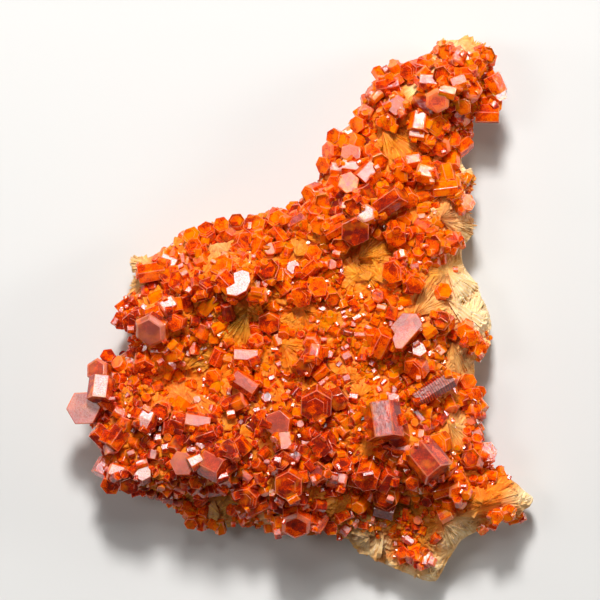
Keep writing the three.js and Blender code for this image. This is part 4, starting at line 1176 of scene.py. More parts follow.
# Small crystals listed one by one: x, y, length and width of the bright face, and the bearing of its length.
# Glints face the key light, sheens face the dimmer panel beside it.
glints = [
    (-20.3, 8.7, 0.8, 0.7, 30), (-21.7, 8.2, 0.5, 0.5, 0), (-8.1, 5.9, 0.7, 0.6, 60),
    (-3.2, 8.5, 1.2, 1.1, 70), (-2.2, 4.7, 0.8, 0.7, -45), (-17.6, 1.5, 1.3, 1.1, 60),
    (-24.9, -1.3, 1.4, 1.2, -40), (-25.7, 0.6, 0.7, 0.6, 0), (-27.9, 0.3, 0.7, 0.6, 30),
    (-27.7, -1.1, 0.8, 0.6, 30), (-28.5, -1.6, 1.1, 0.6, 75), (-27.2, -6.4, 1.0, 0.8, 75),
    (-18.8, -5.8, 0.9, 0.5, -30), (-16.0, -7.2, 0.8, 0.4, 45), (-14.1, -4.8, 0.7, 0.4, 30),
    (-5.1, 1.1, 1.0, 0.9, 75), (-5.0, -5.7, 1.0, 0.6, 30), (-4.0, -7.9, 1.4, 0.6, 0),
    (-16.1, -11.2, 0.7, 0.5, 60), (-15.2, -12.8, 1.0, 0.8, 5), (-15.5, -13.7, 0.5, 0.5, 0),
    (-4.5, -12.5, 1.3, 1.0, 25), (-6.9, -17.6, 1.3, 1.0, 25), (-11.0, -18.1, 1.7, 1.1, 12),
    (-21.3, -23.5, 1.8, 1.3, 12), (-22.7, -22.1, 1.5, 1.4, 5), (-12.3, -28.0, 2.4, 1.0, 20),
    (-15.5, -28.8, 1.5, 1.0, -25), (-3.5, -25.4, 1.4, 1.3, -15), (-4.8, -27.6, 1.1, 0.8, 25),
    (-27.8, -16.5, 0.5, 0.5, 0), (-29.1, -19.2, 0.7, 0.6, 20), (-22.2, -19.0, 0.6, 0.4, 20),
    (-20.0, -18.7, 0.5, 0.4, 20), (-12.9, -16.5, 0.8, 0.4, 80), (-4.3, -17.3, 1.3, 0.4, 25),
    (-2.6, -35.2, 0.9, 0.4, 60), (-10.7, -36.0, 0.9, 0.7, 0), (-1.1, -25.9, 0.8, 0.5, 10),
    (1.1, -30.8, 0.9, 0.5, 85), (0.0, -21.6, 1.0, 0.9, 30), (1.0, -11.7, 0.6, 0.4, 30),
    (1.4, -14.1, 0.4, 0.4, 0), (4.3, 2.9, 0.8, 0.7, 10), (-1.2, 2.7, 0.5, 0.5, 0),
    (11.7, 1.3, 0.8, 0.7, 35), (11.0, 2.1, 0.7, 0.4, 60), (11.6, 0.5, 0.5, 0.4, 40),
    (6.9, -2.0, 1.0, 0.6, 28), (7.2, -2.8, 1.0, 0.7, 28), (9.0, -2.9, 1.7, 0.9, 32),
    (10.2, -2.4, 0.9, 0.5, 0), (4.2, -0.7, 0.7, 0.6, 20), (2.8, -3.5, 0.6, 0.5, 40),
    (5.9, -3.9, 0.8, 0.3, -60), (9.1, -9.4, 1.0, 0.7, 0), (11.8, -11.4, 0.9, 0.8, 45),
    (3.9, -11.5, 0.7, 0.5, 0), (3.9, -10.5, 0.6, 0.4, -35), (8.5, -11.8, 0.9, 0.7, 40),
    (13.3, -13.1, 1.3, 0.6, 50), (8.5, -15.5, 1.8, 1.2, -12), (19.5, -3.2, 0.9, 0.7, -60),
    (21.3, -5.7, 1.0, 0.9, 0), (20.8, -8.6, 1.2, 1.0, 30), (21.5, -9.9, 0.5, 0.4, 40),
    (24.7, -14.5, 1.5, 0.4, -60), (18.0, -17.7, 1.1, 0.4, -40), (23.3, -18.1, 1.4, 0.4, -60),
    (24.4, -19.3, 0.8, 0.4, -50), (24.7, -20.4, 0.8, 0.5, -20), (20.9, -18.8, 0.5, 0.5, 0),
    (18.1, -21.3, 0.6, 0.5, 20), (16.9, -23.2, 0.5, 0.4, 0), (6.4, -22.2, 0.8, 0.4, 0),
    (7.6, -22.4, 0.6, 0.5, 0), (8.0, -24.3, 0.7, 0.5, -40), (6.1, -26.4, 1.3, 0.6, -65),
    (10.8, -27.6, 2.1, 0.8, 12), (10.2, -34.4, 1.1, 1.0, 0), (9.3, -34.5, 0.9, 0.4, 80),
    (22.9, -29.3, 0.8, 0.4, 20), (26.0, -29.6, 1.1, 0.4, 5), (25.6, -30.5, 0.8, 0.4, 60),
    (19.6, -34.5, 0.5, 0.5, 0), (33.5, -28.5, 0.9, 0.6, 70), (33.9, -34.4, 0.6, 0.5, 30),
    (15.5, -40.2, 0.5, 0.4, -20), (15.1, -41.2, 0.5, 0.4, 0), (13.3, -36.9, 0.6, 0.5, 60),
    (21.0, -41.8, 1.6, 1.2, 70), (25.8, 39.0, 1.0, 0.7, 45), (27.0, 39.2, 0.8, 0.8, 45),
    (28.2, 33.1, 0.8, 0.7, 45), (31.0, 31.2, 1.2, 1.0, 45), (9.3, 26.2, 1.3, 0.7, 60),
    (9.4, 21.9, 1.0, 0.6, 40), (17.8, 17.1, 1.9, 0.4, -45), (22.6, 16.3, 1.0, 0.5, 0),
    (20.6, 13.1, 0.9, 0.6, 30), (16.2, 7.2, 1.6, 1.2, 100), (22.9, 23.6, 0.9, 0.6, 20),
    (14.0, 29.0, 0.6, 0.5, 0),
]
sheens = [
    (-18.9, 8.7, 1.0, 0.6, -45), (-19.1, 5.4, 1.2, 0.8, 30), (-18.4, 4.2, 1.5, 1.1, 30),
    (-13.7, 6.1, 1.1, 0.8, -30), (-7.4, 6.9, 0.9, 0.8, 0), (-29.5, -3.5, 1.4, 0.9, 60),
    (-26.9, -4.6, 1.4, 1.0, 0), (-19.7, -4.0, 1.2, 0.9, 70), (-17.8, -5.8, 0.6, 0.5, 0),
    (-14.4, -2.5, 1.2, 0.9, 0), (-12.6, -7.2, 0.9, 0.6, 80), (-23.2, -8.2, 1.6, 0.8, 0),
    (-22.2, -9.8, 1.3, 0.8, 35), (-19.7, -10.9, 1.3, 0.6, 25), (-29.9, -15.7, 1.3, 0.8, 0),
    (-27.6, -15.2, 1.1, 0.8, 40), (-15.4, -7.8, 1.3, 0.6, 20), (-17.9, -8.6, 1.1, 0.8, 80),
    (-26.5, -20.8, 1.2, 0.9, 60), (-22.2, -20.5, 1.3, 0.9, 80), (-23.4, -24.7, 1.9, 1.4, 80),
    (-30.2, -23.8, 2.0, 1.6, 100), (-26.9, -24.4, 1.5, 1.0, 20), (-30.9, -27.0, 1.0, 0.8, 40),
    (-29.9, -12.2, 1.5, 1.3, -20), (-11.3, -14.7, 1.5, 1.0, 80), (-14.2, -17.3, 1.5, 0.6, 75),
    (-5.3, -25.7, 1.2, 0.9, -10), (-16.2, -27.6, 1.2, 1.0, 60), (-14.9, -9.9, 1.0, 0.6, 60),
    (-3.3, -10.2, 1.3, 1.1, 30), (-6.1, -14.6, 0.9, 0.8, 50), (-9.4, -19.5, 1.0, 0.9, 40),
    (-8.5, -20.0, 0.9, 0.8, 0), (7.4, -12.5, 1.4, 1.3, 20), (11.4, -10.1, 1.1, 0.9, 60),
    (7.4, -9.0, 1.8, 1.6, 30), (6.2, -10.3, 1.1, 0.9, 50), (3.5, -13.2, 1.3, 0.9, 40),
    (4.2, -12.6, 0.9, 0.7, 40), (8.5, -3.9, 1.1, 1.0, 80), (10.9, -4.5, 1.5, 0.9, -40),
    (3.8, -6.3, 1.2, 0.8, 0), (7.4, -7.5, 1.0, 0.8, 40), (18.4, -6.9, 1.4, 0.7, 30),
    (14.1, -15.1, 1.2, 0.9, -20), (12.6, -14.2, 1.1, 0.8, -65), (18.8, -12.4, 1.0, 0.9, 0),
    (13.9, -8.7, 1.8, 0.9, 30), (14.4, -31.6, 1.5, 1.0, -25), (7.4, -36.8, 1.8, 1.5, -40),
    (6.9, -7.8, 1.0, 0.5, -45), (4.1, -9.8, 0.8, 0.7, 0), (22.4, -15.7, 1.2, 0.4, 0),
    (22.0, -22.9, 1.4, 0.9, -70), (23.5, -24.0, 1.1, 0.6, 0), (18.4, -22.9, 0.9, 0.7, 0),
    (18.4, -37.1, 0.9, 0.7, 60), (12.6, -34.3, 0.7, 0.5, 0), (4.3, -25.2, 1.5, 1.0, -20),
    (19.4, 13.3, 1.5, 1.0, 10), (13.8, 37.0, 1.3, 1.0, 30), (17.9, 22.4, 1.5, 1.0, 0),
    (21.0, 18.9, 1.0, 0.8, 0), (27.3, 29.2, 1.2, 0.9, 20), (24.8, 28.4, 1.0, 0.8, 60),
    (-3.6, -37.2, 1.4, 1.4, 10), (-22.7, -30.0, 1.0, 0.8, 30), (2.1, -28.4, 1.0, 1.4, 20),
    (5.4, -28.2, 1.6, 1.2, -10), (12.2, 21.0, 1.0, 0.9, 30), (24.9, 4.9, 1.0, 0.7, 0),
]
others = [
    plate(12.4, 22.4, 3.2, 2.6, 26, 300, 20, 1.0), plate(5.7, 19.0, 2.8, 2.4, 26, 240, 10),
    plate(24.4, 25.4, 2.8, 2.4, 24, 60, 10), bar(26.0, 24.6, 3.0, 3.2, 26, 40, 40),
    bar(18.0, 22.3, 2.6, 2.6, 12, 92, 10), plate(17.2, 16.4, 3.0, 2.6, 34, 300, 20),
    bar(-3.4, 8.6, 2.2, 2.2, 26, 40, 20, 1.0), plate(5.0, 0.5, 2.8, 2.4, 30, 300, 0),
    plate(2.0, 7.2, 2.8, 2.2, 22, 60, 10), plate(26.8, -13.4, 2.8, 2.4, 24, 60, 0),
    plate(-19.6, -3.4, 3.2, 2.6, 18, 200, 80, 0.9), plate(-30.2, -24.0, 3.2, 2.6, 34, 220, 0),
    plate(-22.1, -17.6, 3.2, 2.6, 20, 60, 40), plate(-7.2, -4.4, 3.0, 2.6, 28, 270, 90, 0.8),
    plate(-4.8, -3.3, 3.8, 2.8, 22, 250, 30, 0.8), bar(3.1, -11.3, 2.6, 2.8, 26, 130, 40),
    plate(5.9, -15.7, 3.2, 2.8, 26, 300, 10, 1.0), bar(-5.9, -32.6, 2.8, 2.8, 30, 240, 30),
    plate(5.0, -36.0, 2.8, 2.6, 24, 260, 10), plate(15.6, -21.2, 3.6, 3.4, 34, 280, 20, 1.2),
    plate(22.4, -22.7, 3.6, 3.2, 20, 200, 20, 1.2),
    bar(13.6, -33.2, 3.6, 3.2, 14, 92, 165, 1.6, shape="striped", tone=0.9, frost=0.4),
    bar(22.9, -30.4, 2.8, 3.2, 24, 240, 20), plate(27.0, -25.8, 3.2, 2.6, 26, 130, 10),
    plate(22.9, -3.8, 3.2, 2.8, 30, 220, 30, 1.4), plate(22.6, 1.2, 2.8, 2.4, 30, 40, 0),
    plate(26.4, -4.6, 3.0, 2.4, 24, 260, 30), plate(-30.6, -9.4, 2.6, 2.4, 30, 120, 0),
    plate(-10.0, 12.2, 2.8, 2.4, 30, 110, 0), plate(1.8, -6.6, 2.8, 2.4, 24, 250, 0),
    bar(-13.2, -9.0, 2.4, 2.8, 24, 200, 60), plate(-13.6, -12.2, 3.2, 2.6, 20, 240, 20),
    plate(16.6, 12.8, 2.8, 2.4, 30, 250, 20),
]

regions = {
    "spire": lambda p: p[1] > 14 * mm,
    "east": lambda p: p[0] > 14 * mm,
    "north_west": lambda p: p[1] > -6 * mm and p[0] < -4 * mm,
    "west": lambda p: p[0] < -12 * mm,
    "heart": lambda p: p[1] > -16 * mm,
    "keel": lambda p: True,
}


def surfaceSpots(mesh, count, seed):
    # points spread evenly over a mesh, with its normal there
    dice = np.random.default_rng(seed)
    mesh.calc_loop_triangles()
    corners = np.empty(len(mesh.loop_triangles) * 3, np.int32)
    mesh.loop_triangles.foreach_get("vertices", corners)
    points = vertexVectors(mesh, "co")
    a, b, c = (points[corners.reshape(-1, 3)[:, k]] for k in range(3))
    cross = np.cross(b - a, c - a)
    area = np.linalg.norm(cross, axis=1)
    chosen = dice.choice(len(area), count, p=area / area.sum())
    u, v = dice.random((2, count))
    flip = u + v > 1
    u, v = np.where(flip, 1 - u, u), np.where(flip, 1 - v, v)
    spots = a[chosen] + u[:, None] * (b - a)[chosen] + v[:, None] * (c - a)[chosen]
    return spots, cross[chosen] / area[chosen][:, None]


def apart(spots, gaps):
    # keeps the spots that are no nearer to a kept one than their own gap
    cell = max(gaps)
    kept, grid = [], {}
    for k, (spot, gap) in enumerate(zip(spots, gaps)):
        home = tuple((spot // cell).astype(int))
        near = (
            other
            for dx in (-1, 0, 1) for dy in (-1, 0, 1) for dz in (-1, 0, 1)
            for other in grid.get((home[0] + dx, home[1] + dy, home[2] + dz), ())
        )
        if all(math.dist(spot, spots[other]) > gap for other in near):
            kept.append(k)
            grid.setdefault(home, []).append(k)
    return kept


# Where small crystals find room
room = {
    "clearRound": 0.5,  # millimetres left free round a listed crystal
    "keptWhole": 4.2,  # crystals of this size and over carry no small ones on top
    "keptShare": 0.45,
    "bareFrom": 0.3,  # they thin out from this bareness on, over the next stretch of it
    "bareOver": 0.35,
    "bareStrength": 0.4,
    "bareGaps": 1.2,
    "clumps": 190,  # how fine the pattern of crowded and open places is
    "open": 0.45,
    "openFrom": 0.05,
    "openOver": 0.25,
    "fineFills": 0.7,  # where crystals are fine, they fill open places and stand closer
    "fineGaps": 0.38,
    "wall": 0.3,  # the upward part of a normal below which the rock counts as a wall
    "onWalls": 0.3,
    "underside": -0.15,  # the upward part of a normal below which nothing grows
    "lowest": 2.2,
}


def nearPlaced(spots):
    # true where a spot would crowd a listed crystal
    near = np.zeros(len(spots), bool)
    rounds = [(x, y, length / 2) for x, y, length, width, bearing in glints + sheens]
    rounds += [(c["x"], c["y"], c["width"] / 2) for c in others]
    for x, y, reach in rounds:
        away = np.hypot(spots[:, 0] - x * mm, spots[:, 1] - y * mm) / mm
        near |= away < reach + room["clearRound"]
    for c in [c for crystals in colonies.values() for c in crystals]:
        if max(c["width"], c["length"]) < room["keptWhole"]:
            continue
        spin = math.radians(c["spin"])
        dx, dy = spots[:, 0] / mm - c["x"], spots[:, 1] / mm - c["y"]
        along = np.abs(dx * math.cos(spin) + dy * math.sin(spin))
        aside = np.abs(dy * math.cos(spin) - dx * math.sin(spin))
        reach = c["width"] if c["onEnd"] else c["length"]
        near |= (along < room["keptShare"] * reach) & (aside < room["keptShare"] * c["width"])
    return near


def crowdOn(mesh, tries, spacing, seed):
    # spots for small crystals: few on bare rock, in open places and on walls, and close where they are fine
    spots, normals = surfaceSpots(mesh, tries, seed)
    dice = np.random.default_rng(seed + 1)
    bare = np.clip((tintAt(spots, "bare") - room["bareFrom"]) / room["bareOver"], 0, 1)
    openness = np.clip((noiseAt(spots, room["clumps"]) - room["openFrom"]) / room["openOver"], 0, 1)
    bare += room["open"] * (1 - room["fineFills"] * tintAt(spots, "fine")) * openness
    bare = np.clip(bare, 0, 1)
    wall = (normals[:, 2] < room["wall"]) & (dice.random(len(spots)) > room["onWalls"])
    free = (normals[:, 2] > room["underside"]) & (spots[:, 2] > room["lowest"] * mm)
    free &= (dice.random(len(spots)) > bare ** room["bareStrength"]) & ~wall & ~nearPlaced(spots)
    spots, normals, bare = spots[free], normals[free], bare[free]
    fine = tintAt(spots, "fine")
    kept = apart(spots, spacing * mm * (1 - room["fineGaps"] * fine + room["bareGaps"] * bare))
    return spots[kept], normals[kept], fine[kept]


def topAt(trees, x, y):
    hits = [surfaceBelow(tree, x * mm, y * mm) for tree in trees]
    return max([hit.z / mm for hit in hits if hit], default=placing["rimTop"])


def leanOf(way):
    # how far a direction leans from straight up, and its bearing
    return math.degrees(way.angle(Vector((0, 0, 1)))), math.degrees(math.atan2(way.y, way.x))


def outward(roll, normal, spread, upward):
    # about the way that the surface faces, and a little more upwards
    stray = Vector((roll.gauss(0, spread), roll.gauss(0, spread), roll.gauss(*upward)))
    return leanOf(Vector(normal) + stray)


def towardLamp(roll, lean, leanSpread, bearingSpread):
    return roll.gauss(lean, leanSpread), roll.gauss(mirrors["bearing"], bearingSpread)


# Tones are the usual one and its spread, here and below
placed = {
    "narrowest": 0.8,
    "acrossCorners": 1.45,  # width across the corners for each millimetre of bright face
    "faceLength": 0.8,
    "rise": 0.22,  # how high a middle stands, as a share of the width
    "spreads": (0.6, 1.5),  # degrees of lean and of bearing
    # frost here is painted sheen on the bright face, with a duller finish
    "glints": {"tone": 0.3, "frost": 0.1},
    "sheens": {"tone": 0.4, "frost": 0.4},
    "otherTone": 0.3,
    "toneSpread": 0.15,
}


def placedStamps(mesh):
    # the listed crystals, each set on whatever lies highest there
    roll = random.Random(71)
    rockTree, crystalTree = treeOf(mesh), treeOf(*[piece.data for piece in crystalPieces])
    stamps = []
    kinds = [(glints, mirrors["glint"], placed["glints"]), (sheens, mirrors["sheen"], placed["sheens"])]
    for faces, lean, look in kinds:
        for x, y, length, width, bearing in faces:
            across = max(placed["narrowest"], placed["acrossCorners"] * width)
            along = placed["faceLength"] * length
            axes = crystalAxes(*towardLamp(roll, lean, *placed["spreads"]), bearing, False)
            height = topAt([rockTree, crystalTree], x, y) + placed["rise"] * across
            centre = (x * mm, y * mm, height * mm)
            tone = look["tone"] + roll.gauss(0, placed["toneSpread"])
            stamps.append(crystalStamp(
                "small", across, along, axes, centre, tone, roll.random(), look["frost"],
            ))
    for c in others:
        shape = shapeFor(c, roll)
        tone = c["tone"] or placed["otherTone"] + roll.gauss(0, placed["toneSpread"])
        stamps.append(listedStamp(c, shape, topAt([rockTree], c["x"], c["y"]), tone, roll))
    return stamps


# Riders: small crystals that grew on the flanks of the larger ones
riders = {
    "tries": 7000,
    "spacing": 1.35,
    "flank": (-0.3, 0.8),  # the upward part of a flank's normal
    "width": (0.7, 1.7),
    "lengthShare": (0.8, 1.3),
    "stray": 0.5,
    "upward": 0.4,
    "endsSeen": 0.3,  # share of crystals that show an end
    "tone": (0.25, 0.18),
}


def riderStamps():
    roll = random.Random(81)
    share = int(riders["tries"] / len(crystalPieces))
    found = [surfaceSpots(piece.data, share, 90 + k) for k, piece in enumerate(crystalPieces)]
    spots, normals = (np.concatenate(parts) for parts in zip(*found))
    overRock = np.array([surfaceBelow(cadRockTree, x, y) is not None for x, y, z in spots])
    lowest, highest = riders["flank"]
    flank = (normals[:, 2] < highest) & (normals[:, 2] > lowest) & overRock & ~nearPlaced(spots)
    spots, normals = spots[flank], normals[flank]
    stamps = []
    for k in apart(spots, np.full(len(spots), riders["spacing"] * mm)):
        width = roll.uniform(*riders["width"])
        stray = Vector((roll.gauss(0, riders["stray"]), roll.gauss(0, riders["stray"]), riders["upward"]))
        lean = leanOf(Vector(normals[k]) + stray)
        axes = crystalAxes(*lean, roll.uniform(0, 360), roll.random() < riders["endsSeen"])
        tone = riders["tone"][0] + roll.gauss(0, riders["tone"][1])
        length = width * roll.uniform(*riders["lengthShare"])
        stamps.append(crystalStamp("small", width, length, axes, spots[k], tone, roll.random()))
    return stamps


# The crowd that covers the face
crowd = {
    "tries": 34000,
    "spacing": 1.15,
    "width": 1.75,
    "widthSpread": 0.24,
    "widest": 2.8,
    "fineNarrower": 0.4,
    "onWallSize": 0.75,
    "lengthShare": (0.7, 1.35),
    "rise": (0.05, 0.32),
    "glinting": 0.014,
    "glintSpreads": (2, 6),
    "sheen": 0.10,
    "sheenSpreads": (2, 8),
    # painted sheen, with a duller finish, on crystals turned to the sheen panel
    "paintedSheenOnSheens": 0.4,
    "stray": 0.5,
    "upward": (0.2, 0.3),
    "endsSeen": 0.3,
    "tapered": 0.3,
    "tone": (0.22, 0.25),
    "toneBySize": 0.08,
    "plainSize": 1.7,
}


def crowdStamps(mesh):
    roll = random.Random(31)
    stamps = []
    for spot, normal, fine in zip(*crowdOn(mesh, crowd["tries"], crowd["spacing"], 41)):
        usual = crowd["width"] * (1 - crowd["fineNarrower"] * fine)
        width = min(crowd["widest"], usual * math.exp(roll.gauss(0, crowd["widthSpread"])))
        width *= crowd["onWallSize"] if normal[2] < room["wall"] else 1
        length = width * roll.uniform(*crowd["lengthShare"])
        lot = roll.random()
        onEnd = roll.random() < crowd["endsSeen"]
        frost = 0.0
        if lot < crowd["glinting"]:
            lean = towardLamp(roll, mirrors["glint"], *crowd["glintSpreads"])
        elif lot < crowd["glinting"] + crowd["sheen"]:
            lean = towardLamp(roll, mirrors["sheen"], *crowd["sheenSpreads"])
            frost = crowd["paintedSheenOnSheens"]
        else:
            lean = outward(roll, normal, crowd["stray"], crowd["upward"])
        axes = crystalAxes(*lean, roll.uniform(0, 360), onEnd)
        centre = Vector(spot) + Vector(normal) * (width * roll.uniform(*crowd["rise"]) * mm)
        tone = crowd["tone"][0] + roll.gauss(0, crowd["tone"][1])
        tone += crowd["toneBySize"] * (width - crowd["plainSize"])
        shape = "smallTapered" if roll.random() < crowd["tapered"] else "small"
        stamps.append(crystalStamp(shape, width, length, axes, centre, tone, roll.random(), frost))
    return stamps


# The grains that fill what the crowd leaves free
grains = {
    "tries": 30000,
    "spacing": 0.52,
    "width": (0.4, 0.95),
    "lengthShare": (0.7, 1.4),
    "rise": 0.2,
    "glinting": 0.10,
    "glintSpreads": (1, 3),
    "stray": 0.6,
    "upward": (0.2, 0.4),
    "endsSeen": 0.4,
    "tone": (0.08, 0.12),
}


def grainStamps(mesh):
    roll = random.Random(51)
    stamps = []
    for spot, normal, fine in zip(*crowdOn(mesh, grains["tries"], grains["spacing"], 61)):
        width = roll.uniform(*grains["width"])
        lean = outward(roll, normal, grains["stray"], grains["upward"])
        if roll.random() < grains["glinting"]:
            lean = towardLamp(roll, mirrors["glint"], *grains["glintSpreads"])
        axes = crystalAxes(*lean, roll.uniform(0, 360), roll.random() < grains["endsSeen"])
        centre = Vector(spot) + Vector(normal) * (width * grains["rise"] * mm)
        length = width * roll.uniform(*grains["lengthShare"])
        tone = grains["tone"][0] + roll.gauss(0, grains["tone"][1])
        stamps.append(crystalStamp("grain", width, length, axes, centre, tone, roll.random()))
    return stamps


def addCrowd(mesh):
    byRegion = {name: [] for name in regions}
    for stamp in placedStamps(mesh) + riderStamps() + crowdStamps(mesh) + grainStamps(mesh):
        middle = stamp["points"].mean(axis=0)
        byRegion[next(name for name, inside in regions.items() if inside(middle))].append(stamp)
    pieces = []
    for name, stamps in byRegion.items():
        piece = stampedPiece("small_crystals_" + name, stamps)
        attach(piece, "root")
        pieces.append(piece)
        print("small crystals,", name, len(stamps))
    return pieces


crystalPieces += addCrowd(rockPiece.data)


# Finishes
def addNode(tree, kind, **settings):
    made = tree.nodes.new(kind)
    for name, value in settings.items():
        setattr(made, name, value)
    return made


def feed(tree, source, target):
    # joins an output to an input, or writes a plain value into the input
    if isinstance(source, bpy.types.NodeSocket):
        tree.links.new(source, target)
    else:
        target.default_value = source


def mathNode(tree, operation, *values, clamp=False):
    made = addNode(tree, "ShaderNodeMath", operation=operation, use_clamp=clamp)
    for value, target in zip(values, made.inputs):
        feed(tree, value, target)
    return made.outputs[0]


def times(tree, first, second, clamp=False):
    return mathNode(tree, "MULTIPLY", first, second, clamp=clamp)


def mixColour(tree, share, first, second):
    made = addNode(tree, "ShaderNodeMix", data_type="RGBA")
    for source, slot in [(share, 0), (first, 6), (second, 7)]:  # 6 and 7 are its two colours
        feed(tree, source, made.inputs[slot])
    return made.outputs[2]


def valueOf(tree, name):
    return addNode(tree, "ShaderNodeAttribute", attribute_name=name).outputs["Fac"]


def vectorOf(tree, name):
    return addNode(tree, "ShaderNodeAttribute", attribute_name=name).outputs["Vector"]


def objectPlace(tree):
    return addNode(tree, "ShaderNodeTexCoord").outputs["Object"]


def axesOf(tree, vector):
    made = addNode(tree, "ShaderNodeSeparateXYZ")
    feed(tree, vector, made.inputs[0])
    return made.outputs["X"], made.outputs["Y"], made.outputs["Z"]


def flatDistance(tree, x, y):
    squares = [mathNode(tree, "POWER", axis, 2.0) for axis in (x, y)]
    return mathNode(tree, "SQRT", mathNode(tree, "ADD", *squares))


def flatPlace(tree, x, y):
    made = addNode(tree, "ShaderNodeCombineXYZ")
    feed(tree, x, made.inputs["X"])
    feed(tree, y, made.inputs["Y"])
    return made.outputs[0]


def noiseOf(tree, place, scale, detail=3, roughness=0.55):
    made = addNode(tree, "ShaderNodeTexNoise")
    feed(tree, place, made.inputs["Vector"])
    made.inputs["Scale"].default_value = scale
    made.inputs["Detail"].default_value = detail
    made.inputs["Roughness"].default_value = roughness
    return made.outputs["Fac"]


def rampOf(tree, value, stops):
    made = addNode(tree, "ShaderNodeValToRGB")
    feed(tree, value, made.inputs["Fac"])
    ramp = made.color_ramp
    while len(ramp.elements) < len(stops):
        ramp.elements.new(0.5)
    for element, (position, colour) in zip(ramp.elements, stops):
        element.position = position
        element.color = (*colour, 1)
    return made.outputs["Color"]


def stretch(tree, value, low, high, toLow=0.0, toHigh=1.0):
    made = addNode(tree, "ShaderNodeMapRange", clamp=True)
    feed(tree, value, made.inputs["Value"])
    for name, number in [("From Min", low), ("From Max", high), ("To Min", toLow), ("To Max", toHigh)]:
        made.inputs[name].default_value = number
    return made.outputs["Result"]


# The fine grain that both minerals have, on top of a relief of their own
grain = {
    "scale": 2600,
    "detail": 3,
}


def grainGroup():
    group = bpy.data.node_groups.new("fine_grain", "ShaderNodeTree")
    for name, side in [("Relief", "INPUT"), ("Grain", "INPUT"), ("Height", "OUTPUT")]:
        group.interface.new_socket(name, in_out=side, socket_type="NodeSocketFloat")
    given = addNode(group, "NodeGroupInput").outputs
    fine = noiseOf(group, objectPlace(group), grain["scale"], grain["detail"])
    height = mathNode(group, "ADD", given["Relief"], times(group, fine, given["Grain"]))
    feed(group, height, addNode(group, "NodeGroupOutput").inputs["Height"])
    return group


fineGrain = grainGroup()


def addBump(tree, shader, relief, look):
    grained = addNode(tree, "ShaderNodeGroup", node_tree=fineGrain)
    feed(tree, relief, grained.inputs["Relief"])
    feed(tree, look["grain"], grained.inputs["Grain"])
    bump = addNode(tree, "ShaderNodeBump")
    feed(tree, look["bumpStrength"], bump.inputs["Strength"])
    feed(tree, look["bumpDepth"], bump.inputs["Distance"])
    feed(tree, grained.outputs["Height"], bump.inputs["Height"])
    feed(tree, bump.outputs["Normal"], shader.inputs["Normal"])


def setShader(shader, look):
    shader.inputs["IOR"].default_value = look["ior"]
    shader.inputs["Subsurface Weight"].default_value = look["glowWeight"]
    shader.inputs["Subsurface Radius"].default_value = look["glowColours"]
    shader.inputs["Subsurface Scale"].default_value = look["glowDepth"]


# Noises are scale, detail and roughness. Ranges are from low, from high, to low and to high.
vanadinite = {
    "ramp": [
        (0.0, (1.0, 0.195, 0.000)),
        (0.3, (0.90, 0.088, 0.000)),
        (0.6, (0.52, 0.026, 0.002)),
        (1.0, (0.20, 0.013, 0.007)),
    ],
    "clouds": (800, 4, 0.6),
    "cloudTone": 1.5,
    "zoneNoise": (1.0, 2),
    "zonesAcross": 14.0,
    "zoneShift": 90.0,  # how far the pattern of one crystal is from that of another
    "zoneTone": 0.3,
    "blocks": (3.4, 3.4, 2.2),  # grown-together parts per unit of a crystal
    "blockShift": 57.0,
    "blockTone": 0.50,
    "paintedSideLight": 0.30,  # painted light: how much lighter the sides are than the level faces
    "rootShadeTone": 0.25,
    "specks": (4200, 3, 0.7),
    "speckTone": 1.4,
    # painted glow: bright orange laid over blotches, as if light shone through the crystal
    "paintedGlow": (1.0, 0.24, 0.003, 1),
    "paintedGlowNoise": (380, 2),
    "paintedGlowRange": (0.52, 0.70, 0.0, 0.6),
    # painted shade at the foot of each crystal
    "root": (0.16, 0.008, 0.001, 1),
    "rootShadeRange": (0.1, 0.9, 0.0, 0.6),
    # the painted sheen: which faces take it, its mauve and whiter colours, and where each shows
    "rimeAndSheenFacing": (0.80, 0.87),
    "paintedMauveSheen": (0.52, 0.14, 0.10, 1),
    "paintedMauveSheenRange": (0.0, 0.5, 0.0, 0.75),
    "paintedMauveSheenClouds": (0.3, 0.6, 1.0, 0.7),
    "rimeAndPaintedSheen": (0.84, 0.64, 0.60, 1),
    "paintedWhiteSheenRange": (0.45, 1.0, 0.0, 0.9),
    "paintedWhiteSheenSpecks": (0.36, 0.58, 0.3, 1.0),
    "rimeRoughness": 0.14,
    "rimeBreaks": (4600, 2, 0.6),
    "rimeBreakRange": (0.36, 0.6, 0.30, 1.0),
    "rimeSpecular": (0.0, 0.75, 0.5, 0.03),
    "stripe": (0.10, 0.012, 0.008, 1),
    "stripeRange": (-0.1, 0.5, 0.0, 0.8),
    # pale edges: wear, and a painted highlight along the bevels
    "edge": (1.0, 0.36, 0.20, 1),
    "edgeWearAndHighlight": 0.34,
    "roughnessRange": (0.35, 0.65, 0.05, 0.13),
    "ior": 1.62,
    "glowWeight": 0.7,
    "glowColours": (1.0, 0.2, 0.04),
    "glowDepth": 0.0011,
    "relief": (1300, 2),
    "reliefHeight": 0.9,
    "grain": 1.0,
    "bumpStrength": 1.0,
    "bumpDepth": 0.00002,
}


def growthBlocks(tree, own, seed):
    # parts of a crystal that grew beside one another, each with a tone of its own
    place = addNode(tree, "ShaderNodeVectorMath", operation="MULTIPLY_ADD")
    feed(tree, own, place.inputs[0])
    feed(tree, vanadinite["blocks"], place.inputs[1])
    feed(tree, times(tree, seed, vanadinite["blockShift"]), place.inputs[2])
    blocks = addNode(tree, "ShaderNodeTexVoronoi")
    feed(tree, place.outputs[0], blocks.inputs["Vector"])
    feed(tree, 1.0, blocks.inputs["Scale"])
    tones = addNode(tree, "ShaderNodeSeparateColor")
    feed(tree, blocks.outputs["Color"], tones.inputs[0])
    return tones.outputs[0]


